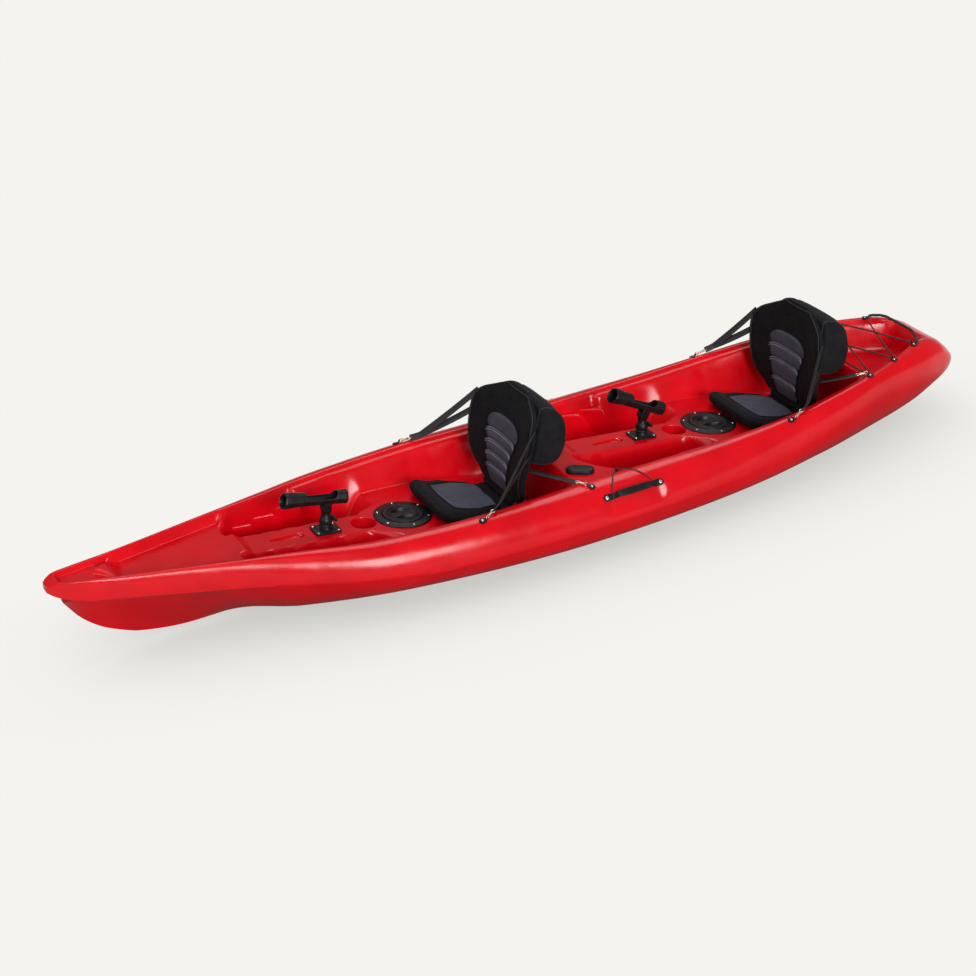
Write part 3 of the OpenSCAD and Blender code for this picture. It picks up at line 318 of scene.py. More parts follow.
def make(name: str, form: Form, material: Finish, angle: float = 40.0, turn: bool = True) -> Piece:
    """Makes a piece from a form.

    Args:
        name: Name of the piece.
        form: Its points and faces, in millimetres.
        material: Its material.
        angle: Faces that meet at less than this many degrees are shaded smooth.
        turn: Whether its normals are made to point outwards.

    Returns:
        The piece, at the origin, in metres.
    """
    mesh = bpy.data.meshes.new(name)
    points = (np.asarray(form.points, float) * MM).tolist()
    mesh.from_pydata(points, [], [tuple(f) for f in form.faces])
    if turn:
        work = bmesh.new()
        work.from_mesh(mesh)
        bmesh.ops.remove_doubles(work, verts=work.verts, dist=1e-6)
        bmesh.ops.recalc_face_normals(work, faces=work.faces)
        work.to_mesh(mesh)
        work.free()
    mesh.validate()
    mesh.materials.append(material)
    piece = bpy.data.objects.new(name, mesh)
    bpy.context.scene.collection.objects.link(piece)
    shade(piece, angle)
    return piece


def shade(piece: Piece, angle: float) -> None:
    """Shades a piece smooth, with sharp edges past an angle in degrees."""
    piece.data.shade_smooth()
    piece.data.set_sharp_from_angle(angle=math.radians(angle))


def settle(piece: Piece) -> Piece:
    """Turns a piece with modifiers into a plain mesh.

    Args:
        piece: The piece.

    Returns:
        The same piece, with no modifiers.
    """
    bpy.context.view_layer.update()
    graph = bpy.context.evaluated_depsgraph_get()
    mesh = bpy.data.meshes.new_from_object(piece.evaluated_get(graph))
    piece.modifiers.clear()
    piece.data = mesh
    return piece


def bevelled(piece: Piece, width: float, segments: int = 3, angle: float = 35.0) -> Piece:
    """Rounds the sharp edges of a piece.

    Args:
        piece: The piece.
        width: Width of the rounding in millimetres.
        segments: Faces across the rounding.
        angle: Edges sharper than this many degrees are rounded.

    Returns:
        The same piece, as a plain mesh.
    """
    bevel = piece.modifiers.new("edge_rounding", "BEVEL")
    bevel.width = width * MM
    bevel.segments = segments
    bevel.limit_method = "ANGLE"
    bevel.angle_limit = math.radians(angle)
    settle(piece)
    shade(piece, 50)
    return piece


def cut(piece: Piece, cutters: Sequence[Form], add: bool = False) -> Piece:
    """Cuts closed forms out of a closed piece, or adds them to it.

    Args:
        piece: The piece.
        cutters: The closed forms.
        add: Whether the forms are added.

    Returns:
        The same piece, as a plain mesh.
    """
    for number, form in enumerate(cutters):
        tool = make(f"{piece.name}_cutter_{number}", form, piece.data.materials[0])
        step = piece.modifiers.new("cut", "BOOLEAN")
        step.operation = "UNION" if add else "DIFFERENCE"
        step.solver = "MANIFOLD"
        step.object = tool
        settle(piece)
        bpy.data.objects.remove(tool)
    return piece


class Pattern:
    """A node tree under construction for one finish."""

    def __init__(self, name: str) -> None:
        """Starts a material with one shader."""
        self.material = bpy.data.materials.new(name)
        self.material.use_nodes = True
        self.tree = self.material.node_tree
        self.shader = self.tree.nodes["Principled BSDF"]

    def node(self, kind: str, **values: object) -> bpy.types.Node:
        """Adds a node.

        Args:
            kind: The node's type.
            values: Properties, or input sockets by name.

        Returns:
            The node.
        """
        node = self.tree.nodes.new(kind)
        for key, value in values.items():
            if key in node.inputs:
                node.inputs[key].default_value = value
            else:
                setattr(node, key, value)
        return node

    def link(self, out: Socket, into: Socket) -> None:
        """Links two sockets."""
        self.tree.links.new(out, into)

    def coordinates(self) -> Socket:
        """Gives the piece's own coordinates."""
        return self.node("ShaderNodeTexCoord").outputs["Object"]

    def noise(self, scale: float, detail: float = 3.0) -> Socket:
        """Adds a noise.

        Args:
            scale: Its scale, per metre.
            detail: Its octaves.

        Returns:
            The noise's value.
        """
        node = self.node("ShaderNodeTexNoise", Scale=scale, Detail=detail)
        self.link(self.coordinates(), node.inputs["Vector"])
        return node.outputs["Fac"]

    def between(self, value: Socket, low: float, high: float) -> Socket:
        """Maps the usual spread of a noise onto a range.

        Args:
            value: The noise's value.
            low: Result at the lower end of the spread.
            high: Result at its upper end.

        Returns:
            The mapped value.
        """
        node = self.node("ShaderNodeMapRange")
        for index, number in ((1, NOISE_SPREAD[0]), (2, NOISE_SPREAD[1]), (3, low), (4, high)):
            node.inputs[index].default_value = number
        self.link(value, node.inputs[0])
        return node.outputs[0]

    def colours(self, value: Socket, stops: Sequence[tuple[float, Point]]) -> Socket:
        """Maps a value onto colours.

        Args:
            value: The value.
            stops: Places and colours.

        Returns:
            The colour.
        """
        ramp = self.node("ShaderNodeValToRGB")
        bar = ramp.color_ramp
        while len(bar.elements) < len(stops):
            bar.elements.new(0.5)
        for element, (place, colour) in zip(bar.elements, stops):
            element.position = place
            element.color = (*colour, 1)
        self.link(value, ramp.inputs["Fac"])
        return ramp.outputs["Color"]

    def bump(self, height: Socket, strength: float, depth: float,
             under: Socket | None = None) -> Socket:
        """Adds a bump.

        Args:
            height: Its height.
            strength: Its strength.
            depth: Its depth in metres.
            under: A bump below it.

        Returns:
            The bent normal.
        """
        node = self.node("ShaderNodeBump", Strength=strength, Distance=depth)
        self.link(height, node.inputs["Height"])
        if under:
            self.link(under, node.inputs["Normal"])
        return node.outputs["Normal"]

    def finish(self, **sockets: object) -> Finish:
        """Sets or links the shader's sockets.

        Args:
            sockets: Socket names, with spaces as underscores, and their values or links.

        Returns:
            The material.
        """
        for key, value in sockets.items():
            socket = self.shader.inputs[key.replace("_", " ")]
            if isinstance(value, bpy.types.NodeSocket):
                self.link(value, socket)
            else:
                socket.default_value = value
        return self.material


@dataclass(frozen=True)
class MouldedShell:
    """Red polyethylene from a heated mould: glossy, with an orange-peel ripple and soft mottling."""

    dark: Point = (0.53, 0.0008, 0.0055)
    light: Point = (0.66, 0.0016, 0.0080)

    def build(self) -> Finish:
        """Makes the material."""
        p = Pattern("red_polyethylene")
        cloudy = p.noise(5.0, 4.0)
        colour = p.colours(cloudy, [(0.32, self.dark), (0.68, self.light)])
        ripple = p.bump(p.noise(9.0, 2.0), 0.22, 0.006)
        peel = p.bump(p.noise(260.0, 2.0), 0.10, 0.0008, ripple)
        rough = p.between(p.noise(14.0, 5.0), 0.15, 0.27)
        return p.finish(Base_Color=colour, Roughness=rough, Normal=peel, Specular_IOR_Level=0.34)


@dataclass(frozen=True)
class MouldedFitting:
    """Black moulded plastic with a fine grain."""

    name: str = "black_fitting_plastic"
    colour: Point = (0.006, 0.006, 0.007)
    worn: Point = (0.014, 0.014, 0.016)
    smooth: float = 0.30
    dull: float = 0.46

    def build(self) -> Finish:
        """Makes the material."""
        p = Pattern(self.name)
        colour = p.colours(p.noise(40.0, 5.0), [(0.4, self.colour), (0.75, self.worn)])
        grain = p.bump(p.noise(900.0, 2.0), 0.25, 0.0004)
        rough = p.between(p.noise(60.0, 3.0), self.smooth, self.dull)
        return p.finish(Base_Color=colour, Roughness=rough, Normal=grain, Specular_IOR_Level=0.24)


@dataclass(frozen=True)
class BareMetal:
    """Metal with fine scratches."""

    name: str
    colour: Point
    shade: Point
    smooth: float = 0.18
    dull: float = 0.38

    def build(self) -> Finish:
        """Makes the material."""
        p = Pattern(self.name)
        colour = p.colours(p.noise(220.0, 4.0), [(0.35, self.shade), (0.65, self.colour)])
        scratch = p.bump(p.noise(1400.0, 3.0), 0.15, 0.0002)
        rough = p.between(p.noise(500.0, 3.0), self.smooth, self.dull)
        return p.finish(Base_Color=colour, Roughness=rough, Normal=scratch, Metallic=1.0)


@dataclass(frozen=True)
class WovenCloth:
    """Cloth over foam: a close weave with a little sheen and dust."""

    name: str
    colour: Point
    dusty: Point
    pitch: float = 420.0
    relief: float = 0.5

    def build(self) -> Finish:
        """Makes the material."""
        p = Pattern(self.name)
        at = p.coordinates()
        weft = p.node("ShaderNodeTexWave", Scale=self.pitch, Distortion=1.2, Detail=1.0)
        weft.bands_direction = "Z"
        warp = p.node("ShaderNodeTexWave", Scale=self.pitch, Distortion=1.2, Detail=1.0)
        warp.bands_direction = "Y"
        for wave in (weft, warp):
            p.link(at, wave.inputs["Vector"])
        crossed = p.node("ShaderNodeMath", operation="MULTIPLY")
        p.link(weft.outputs["Fac"], crossed.inputs[0])
        p.link(warp.outputs["Fac"], crossed.inputs[1])
        slub = p.bump(p.noise(55.0, 4.0), 0.25, 0.002)
        weave = p.bump(crossed.outputs[0], self.relief, 0.0006, slub)
        colour = p.colours(p.noise(24.0, 5.0), [(0.35, self.colour), (0.8, self.dusty)])
        rough = p.between(p.noise(90.0, 3.0), 0.68, 0.88)
        return p.finish(Base_Color=colour, Roughness=rough, Normal=weave, Sheen_Weight=0.02,
                        Sheen_Roughness=0.5, Specular_IOR_Level=0.12)


@dataclass(frozen=True)
class BraidedCover:
    """Braided cover of a cord or webbing."""

    name: str
    colour: Point
    fleck: Point
    pitch: float = 300.0

    def build(self) -> Finish:
        """Makes the material."""
        p = Pattern(self.name)
        cells = p.node("ShaderNodeTexVoronoi", Scale=self.pitch)
        p.link(p.coordinates(), cells.inputs["Vector"])
        colour = p.colours(cells.outputs["Distance"], [(0.2, self.colour), (0.9, self.fleck)])
        braid = p.bump(cells.outputs["Distance"], 0.5, 0.0008)
        rough = p.between(p.noise(120.0, 2.0), 0.55, 0.75)
        return p.finish(Base_Color=colour, Roughness=rough, Normal=braid)


@dataclass
class Palette:
    """All the finishes of the boat."""

    shell: Finish
    fitting: Finish
    rubber: Finish
    steel: Finish
    brass: Finish
    foam: Finish
    quilt: Finish
    piping: Finish
    pack: Finish
    webbing: Finish
    bungee: Finish

    @classmethod
    def mixed(cls) -> "Palette":
        """Makes every finish once."""
        return cls(
            shell=MouldedShell().build(),
            fitting=MouldedFitting().build(),
            rubber=MouldedFitting("seal_rubber", (0.02, 0.02, 0.02), (0.04, 0.04, 0.04), 0.6, 0.8).build(),
            steel=BareMetal("stainless_screws", (0.78, 0.77, 0.75), (0.55, 0.54, 0.53)).build(),
            brass=BareMetal("plated_hooks", (0.86, 0.72, 0.56), (0.62, 0.46, 0.34)).build(),
            foam=WovenCloth("black_foam_cloth", (0.0042, 0.0042, 0.0056), (0.008, 0.008, 0.010)).build(),
            quilt=WovenCloth("grey_quilted_cloth", (0.062, 0.062, 0.088), (0.086, 0.087, 0.118),
                             380.0, 0.7).build(),
            piping=WovenCloth("pale_piping", (0.22, 0.225, 0.26), (0.32, 0.33, 0.37), 900.0, 0.4).build(),
            pack=WovenCloth("black_pack_cloth", (0.0072, 0.0072, 0.0088), (0.013, 0.013, 0.016),
                            300.0, 0.7).build(),
            webbing=BraidedCover("black_webbing", (0.008, 0.008, 0.009), (0.022, 0.022, 0.024),
                                 420.0).build(),
            bungee=BraidedCover("black_bungee", (0.008, 0.008, 0.009), (0.045, 0.04, 0.04), 420.0).build(),
        )


def rise(start: float, end: float, value: np.ndarray | float) -> np.ndarray:
    """Smooth step from 0 at start to 1 at end."""
    t = np.clip((np.asarray(value, float) - start) / (np.asarray(end, float) - start), 0, 1)
    return t * t * (3 - 2 * t)


def mix(a: np.ndarray | float, b: np.ndarray | float, t: np.ndarray | float) -> np.ndarray:
    """Blend of two values."""
    return np.asarray(a + (b - np.asarray(a)) * t)


@dataclass(frozen=True)
class HullLines:
    """Lines of the hull and the surface of the deck, the same as the solids'."""

    half_length: float = 1850.0
    half_beam: float = 430.0
    gunwale_height: float = 281.0
    bow_rise: float = 54.0
    stern_rise: float = 64.0
    chine_height: float = 150.0
    chine_rise: float = 118.0
    keel_flat: float = 80.0
    stern_keel_rise: float = 165.0
    bow_keel_rise: float = 245.0
    pan_height: float = 168.0
    pan_dip: float = 64.0
    pan_low: float = -40.0
    foot_floor: float = 80.0
    tank_floor: float = 225.0
    console_start: float = 240.0
    console_pitch: float = 6.3
    console_half: float = 66.0
    hatch_offset: float = 368.0
    stem_x: float = 1800.05
    beam_line: tuple = (
        (-1, .06), (-.99, .2), (-.965, .33), (-.92, .43), (-.86, .525), (-.75, .645), (-.62, .785),
        (-.45, .89), (-.25, .975), (-.03, 1), (.15, .985), (.3, .935), (.43, .845), (.55, .68),
        (.64, .54), (.76, .38), (.87, .25), (.95, .15), (.98, .105), (.995, .07), (1, .04))
    crest_line: tuple = (
        (-1, .03), (-.985, .1), (-.95, .19), (-.92, .265), (-.86, .36), (-.8, .477), (-.72, .593),
        (-.62, .68), (-.5, .744), (-.35, .758), (-.12, .735), (0, .744), (.21, .763), (.415, .68),
        (.5575, .535), (.67, .4256), (.85, .2326), (.95, .135), (.98, .093), (1, .025))
    sheer_line: tuple = (
        (-1, -1.19), (-.985, -.72), (-.965, -.1), (-.94, .48), (-.9, .875), (-.86, 1), (-.8, .95),
        (-.72, .81), (-.62, .58), (-.5, .27), (-.35, .06), (-.2, .03), (0, 0), (.21, 0), (.415, .07),
        (.5575, .31), (.67, .48), (.85, .76), (.95, .96), (.98, 1.03), (.995, .96), (1, .86))
    chine_line: tuple = (
        (-1, .35), (-.973, .65), (-.92, .87), (-.86, 1), (-.75, .96), (-.62, .7), (-.45, .22),
        (-.25, .04), (0, 0), (.3, .05), (.43, .2), (.55, .36), (.64, .52), (.76, .67), (.87, .83),
        (.95, .95), (.98, 1.12), (1, 1.29))
    keel_line: tuple = (
        (-1, 1), (-.973, .836), (-.92, .576), (-.86, .333), (-.75, .12), (-.6, 0), (-.5, 0), (.55, 0),
        (.65, .09), (.76, .1), (.84, .197), (.878, .309), (.9135, .46), (.9465, .6875), (.973, .98))
    fullness_line: tuple = (
        (-1, 1.9), (-.6, 2), (-.3, 2.2), (0, 2.25), (.3, 1.85), (.43, 1.8), (.55, 1.68), (.64, 1.3),
        (.72, 1), (.8, .98), (1, 1))

    def curve(self, line: tuple, x: np.ndarray | float) -> np.ndarray:
        """Reads a line at places along the hull.

        Args:
            line: Shares of the half length and their values.
            x: Places.

        Returns:
            The line's values there.
        """
        table = np.array(line, float)
        s, v = table[:, 0], table[:, 1]
        last = len(s) - 1
        index = np.arange(last + 1)
        low, high = np.maximum(index - 1, 0), np.minimum(index + 1, last)
        slope = (v[high] - v[low]) / (s[high] - s[low])
        at = np.asarray(x, float) / self.half_length
        i = np.clip(np.searchsorted(s, at, side="left") - 1, 0, last - 1)
        h = s[i + 1] - s[i]
        t = (at - s[i]) / h
        return (v[i] * (2 * t**3 - 3 * t**2 + 1) + slope[i] * h * (t**3 - 2 * t**2 + t)
                + v[i + 1] * (3 * t**2 - 2 * t**3) + slope[i + 1] * h * (t**3 - t**2))

    def half_width(self, x: np.ndarray | float) -> np.ndarray:
        """Half width of the hull at its widest line."""
        return self.half_beam * self.curve(self.beam_line, x)

    def crest_y(self, x: np.ndarray | float) -> np.ndarray:
        """Distance of the gunwale's crest from the centreline."""
        return self.half_beam * self.curve(self.crest_line, x)

    def crest_z(self, x: np.ndarray | float) -> np.ndarray:
        """Height of the gunwale's crest."""
        rise_here = np.where(np.asarray(x) < 0, self.stern_rise, self.bow_rise)
        return self.gunwale_height + rise_here * self.curve(self.sheer_line, x)

    def chine_z(self, x: np.ndarray | float) -> np.ndarray:
        """Height of the widest line."""
        return self.chine_height + self.chine_rise * self.curve(self.chine_line, x)

    def keel_z(self, x: np.ndarray | float) -> np.ndarray:
        """Height of the keel."""
        rise_here = np.where(np.asarray(x) < 0, self.stern_keel_rise, self.bow_keel_rise)
        return np.maximum(0, rise_here * self.curve(self.keel_line, x))

    def console_z(self, u: np.ndarray | float) -> np.ndarray:
        """Height of a console at a distance ahead of its seat hinge."""
        slope = math.tan(math.radians(self.console_pitch))
        return self.pan_height + np.maximum(0, np.asarray(u, float) - self.console_start) * slope

    def pan_z(self, u: np.ndarray | float) -> np.ndarray:
        """Height of the seat pan and console, with the pan sloping down to its rear."""
        behind = self.console_start - np.asarray(u, float)
        fall = np.clip(behind / (self.console_start - self.pan_low), 0, 1)
        return self.console_z(u) - self.pan_dip * fall

    def ledge(self, u: np.ndarray | float) -> np.ndarray:
        """Width of the ledge inside the crest."""
        return mix(30, 10, rise(680, 710, u))

    def cockpit(self, z: np.ndarray, berth: Berth, x: np.ndarray, y: np.ndarray) -> np.ndarray:
        """Sinks one cockpit into the deck.

        Args:
            z: Heights before.
            berth: The cockpit.
            x: Places along.
            y: Places across.

        Returns:
            Heights after.
        """
        u = x - berth.seat_x
        side = np.abs(y)
        edge = mix(120, self.console_half, rise(self.hatch_offset + 60, self.hatch_offset + 170, u))
        foot = rise(edge, edge + 34, side) * rise(420, 530, u)
        floor = mix(self.pan_z(u), self.foot_floor, foot)
        end = 950 - 110 * (np.maximum(0, side - self.console_half) / 220) ** 2
        rim = self.crest_y(x) - self.ledge(u)
        mask = rise(-190, -110, u) * (1 - rise(end, end + 70, u)) * (1 - rise(rim - 62, rim, side))
        return mix(z, floor, mask)

    def nose_pocket(self, x: np.ndarray, y: np.ndarray) -> np.ndarray:
        """Depth of the sunk pocket behind the nose."""
        crest = self.crest_y(x)
        back = 1672 - 85 * np.abs(y) / crest
        inside = rise(back, back + 14, x) * (1 - rise(1790, 1812, x))
        return 17 * inside * (1 - rise(crest - 20, crest - 9, np.abs(y)))

    def deck_z(self, x: np.ndarray | float, y: np.ndarray | float) -> np.ndarray:
        """Height of the deck inside the crests."""
        x, y = np.asarray(x, float), np.asarray(y, float)
        side, crest = np.abs(y), self.crest_y(x)
        recess = mix(12, 36, rise(1150, 1190, x)) * rise(-1700, -1600, x) * (1 - rise(1570, 1660, x))
        z = self.crest_z(x) - recess * (1 - rise(crest - 26, crest - 4, side)) - self.nose_pocket(x, y)
        for berth in Berth:
            z = self.cockpit(z, berth, x, y)
        inside = 1 - rise(crest - 67, crest - 22, side)
        tank = rise(-1690, -1630, x) * (1 - rise(-1360, -1300, x)) * inside
        return mix(z, self.tank_floor, tank)

    def wall_y(self, berth: Berth, x: float, z: float) -> float:
        """Distance of a foot well's side wall from the centreline at a height."""
        top = float(self.crest_z(x)) - 12
        share = min(1.0, max(0.0, (top - z) / (top - self.foot_floor)))
        t = 0.5 - math.sin(math.asin(1 - 2 * share) / 3)
        return float(self.crest_y(x) - self.ledge(x - berth.seat_x)) - 62 * t

    def gunwale(self, x: float, turn: float) -> np.ndarray:
        """Point of the port gunwale, from the crest at 0 degrees to the widest line at 90."""
        a = math.radians(turn)
        crest, chine = float(self.crest_y(x)), float(self.chine_z(x))
        return np.array([x, crest + (float(self.half_width(x)) - crest) * math.sin(a),
                         chine + (float(self.crest_z(x)) - chine) * math.cos(a)])

    def gunwale_frame(self, x: float, turn: float) -> Matrix:
        """Frame on the port gunwale: X forward, Y outboard and down, Z out of the surface."""
        a = math.radians(turn)
        high = float(self.crest_z(x) - self.chine_z(x)) * math.sin(a)
        wide = float(self.half_width(x) - self.crest_y(x)) * math.cos(a)
        place = Matrix.Translation(self.gunwale(x, turn).tolist())
        return place @ Matrix.Rotation(-math.atan2(high, wide), 4, "X")

    def console_frame(self, berth: Berth, offset: float) -> Matrix:
        """Frame on a console: X along its slope, Z out of its top."""
        place = slide(berth.seat_x + offset, 0, float(self.console_z(offset)))
        return place @ spin(-self.console_pitch, "Y")


LINES = HullLines()


@dataclass
class Moulding:
    """The boat's moulded shell: hull and deck in one skin, with its wells cut in."""

    palette: Palette
    gunwale_steps: int = 20
    hull_steps: int = 22
    cup_bore: float = 90.0
    cup_depth: float = 80.0
    knuckle: float = 7.0
    cup_offset: float = 521.0
    slot_offset: float = 812.0
    brace_offsets: tuple[float, ...] = (690.0, 786.0, 882.0)
    brace_heights: tuple[float, float] = (84.0, 232.0)
    brace_reach: float = 34.0
    brace_length: float = 84.0
    brace_rake: float = 0.5
    notch_half: float = 70.0
    stem_notch: tuple = ((1778.0, 269.0), (1803.0, 242.0), (1803.0, 277.2))
    sections: tuple[str, ...] = ("stern_hull", "rear_hull", "front_hull", "bow_hull", "stern_deck",
                                 "rear_seat_deck", "rear_hatch_deck", "rear_foot_deck", "rear_cup_well",
                                 "middle_deck", "front_seat_deck", "front_hatch_deck",
                                 "front_foot_deck", "front_cup_well", "bow_deck")

    def stations(self) -> np.ndarray:
        """Places along the hull, closer together where the deck is steep."""
        x = np.linspace(-1850, 1850, 7401)
        density = np.full_like(x, 1 / 10.0)
        density += (np.abs(x) > 1790) / 4.0
        for berth in Berth:
            u = x - berth.seat_x
            density += ((u > -190) & (u < -110)) / 12.0 + ((u > 840) & (u < 1020)) / 10.0
        density += ((x > 1570) & (x < 1690)) / 9.0
        count = np.concatenate([[0], np.cumsum((density[1:] + density[:-1]) / 2 * np.diff(x))])
        return np.interp(np.linspace(0, count[-1], int(count[-1]) + 1), count, x)

    def deck_shares(self) -> np.ndarray:
        """Places across the deck as shares of the crest's distance, closer together at the walls."""
        inset = np.concatenate([np.arange(0, 30, 3.0), np.arange(30, 100, 4.5),
                                np.arange(100, DECK_HALF, 7.4), [DECK_HALF]])
        return 1 - inset / DECK_HALF

    def gunwale_row(self, x: float, side: int) -> np.ndarray:
        """Points of one gunwale from the widest line up to just below the crest."""
        turns = np.radians(90 * (1 - np.linspace(0, 1, self.gunwale_steps, endpoint=False)))
        crest, chine = LINES.crest_y(x), LINES.chine_z(x)
        y = crest + (LINES.half_width(x) - crest) * np.sin(turns)
        z = chine + (LINES.crest_z(x) - chine) * np.cos(turns)
        along = rise(-306, -276, x) * (1 - rise(-76, -46, x))
        dish = 7 * along * rise(44, 52, np.degrees(turns)) * (1 - rise(60, 82, np.degrees(turns)))
        tilt = np.arctan2(LINES.crest_z(x) - chine, LINES.half_width(x) - crest)
        y = y - dish * np.sin(tilt)
        z = z - dish * np.cos(tilt)
        return np.stack([np.full_like(y, x), side * y, z], axis=1)

    def hull_row(self, x: float) -> np.ndarray:
        """Points under the hull from starboard to port, or straight across ahead of the stem."""
        half, chine = float(LINES.half_width(x)), float(LINES.chine_z(x))
        turns = np.linspace(0, 1, self.hull_steps + 1) ** 1.6 * math.pi / 2
        flat = float(mix(min(LINES.keel_flat / 2, half * 0.3), 7.0, rise(0.3, 0.58, x / LINES.half_length)))
        if x > LINES.stem_x:
            y = flat + (half - flat) * np.cos(turns)
            z = np.full_like(y, chine)
        else:
            power = 2 / float(LINES.curve(LINES.fullness_line, x))
            y = flat + (half - flat) * np.cos(turns).clip(0) ** power
            z = chine - (chine - float(LINES.keel_z(x))) * np.sin(turns) ** power
            knuckle = self.knuckle * float(rise(-900, -300, x) * (1 - rise(1650, 1780, x)))
            y = y - knuckle * (1 - np.exp((z - chine) / 9)) * np.cos(turns).clip(0)
        port = np.stack([np.full_like(y, x), y, z], axis=1)
        keel = np.array([[x, flat * s, z[-1]] for s in (-0.5, 0.0, 0.5)])
        return np.vstack([(port * [1, -1, 1])[1:], keel, port[::-1][:-1]])

    def ring(self, x: float) -> np.ndarray:
        """Closed section of the skin: port gunwale, deck, starboard gunwale, hull."""
        shares = self.deck_shares()
        y = float(LINES.crest_y(x)) * np.concatenate([shares, -shares[::-1][1:]])
        deck = np.stack([np.full_like(y, x), y, LINES.deck_z(np.full_like(y, x), y)], axis=1)
        starboard = self.gunwale_row(x, -1)[::-1]
        return np.vstack([self.gunwale_row(x, 1), deck, starboard, self.hull_row(x)])

    def cups_and_slots(self) -> list[Form]:
        """Closed forms of the wells, slots and holes in the deck, and the notch in the stem."""
        forms = []
        r, d = self.cup_bore / 2, self.cup_depth
        cup = lathe([(0.5, -d), (r - 14, -d), (r - 5, -d + 4), (r - 1, -d + 14), (r, -d + 30), (r, -4),
                     (r + 1, -1.6), (r + 3.4, 0.4), (r + 3.4, 6)], 96)
        hole = lathe([(0.5, -95), (70, -95), (79, -86), (79, -20), (80.2, -20), (80.2, 12)], 96)
        for berth in Berth:
            forms.append(cup.placed(LINES.console_frame(berth, self.cup_offset)))
            forms.append(hole.placed(LINES.console_frame(berth, LINES.hatch_offset)))
            forms.append(self.slot().placed(LINES.console_frame(berth, self.slot_offset)))
        socket = lathe([(0.5, -46), (24.8, -46), (24.8, 40)], 48)
        for side in Side:
            forms.append(socket.placed(RodSocket.place(side) @ spin(SOCKET_RAKE, "Y")))
        forms.append(loft([[(x, y, z) for x, z in self.stem_notch]
                           for y in (-self.notch_half, self.notch_half)]))
        return forms

    def slot(self) -> Form:
        """Leaf-shaped slot, wide at its aft end."""
        outline = []
        for a in np.linspace(math.pi / 2, 3 * math.pi / 2, 17):
            outline.append((-47 + 18 * math.cos(a), 18 * math.sin(a)))
        for a in np.linspace(-math.pi / 2, math.pi / 2, 9):
            outline.append((58 + 7 * math.cos(a), 7 * math.sin(a)))
        rings = []
        for z, inset in ((-10.0, 4.0), (-9.0, 1.5), (-7.0, 0.4), (-1.5, 0.0), (-0.4, -0.8), (0.4, -2.2),
                         (4.0, -2.2)):
            scale_x, scale_y = 1 - inset / 65, 1 - inset / 18
            rings.append([(x * scale_x, y * scale_y, z) for x, y in outline])
        return loft(rings)

    def build(self) -> Piece:
        """Makes the skin.

        Returns:
            The piece.
        """
        places = self.stations()
        ahead = places[places > 1800.0]
        places = np.concatenate([places[places < 1799.0], [1800.0, 1800.1], ahead[ahead > 1802]])
        form = loft([self.ring(x) for x in places])
        skin = make("moulded_shell", form, self.palette.shell, SOFT_EDGE)
        cut(skin, self.cups_and_slots())
        shade(skin, 38)
        return skin

    def brace(self, berth: Berth, offset: float, side: Side) -> Form:
        """One foot brace: a wedge on a foot well's wall, with its face towards the paddler."""
        low, top = self.brace_heights
        rings = []
        for z in np.linspace(low, top, 8):
            x = berth.seat_x + offset - (top - z) * self.brace_rake
            a = (x, LINES.wall_y(berth, x, z) + 8)
            b = (x, LINES.wall_y(berth, x, z) - self.brace_reach)
            c = (x + self.brace_length, LINES.wall_y(berth, x + self.brace_length, z) + 4)
            rings.append([(px, side.value * py, z) for px, py in (a, b, c)])
        return loft(rings)

    def braces(self) -> Piece:
        """Makes all the foot braces.

        Returns:
            The piece.
        """
        form = Form()
        for berth in Berth:
            for offset in self.brace_offsets:
                for side in Side:
                    form.add(self.brace(berth, offset, side))
        return bevelled(make("foot_braces", form, self.palette.shell), 5.0, 4, 25)

    def dress(self) -> None:
        """Builds the shell and puts it in place of its solids."""
        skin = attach(self.build(), "hull")
        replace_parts(skin, *self.sections)
        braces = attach(self.braces(), "hull")


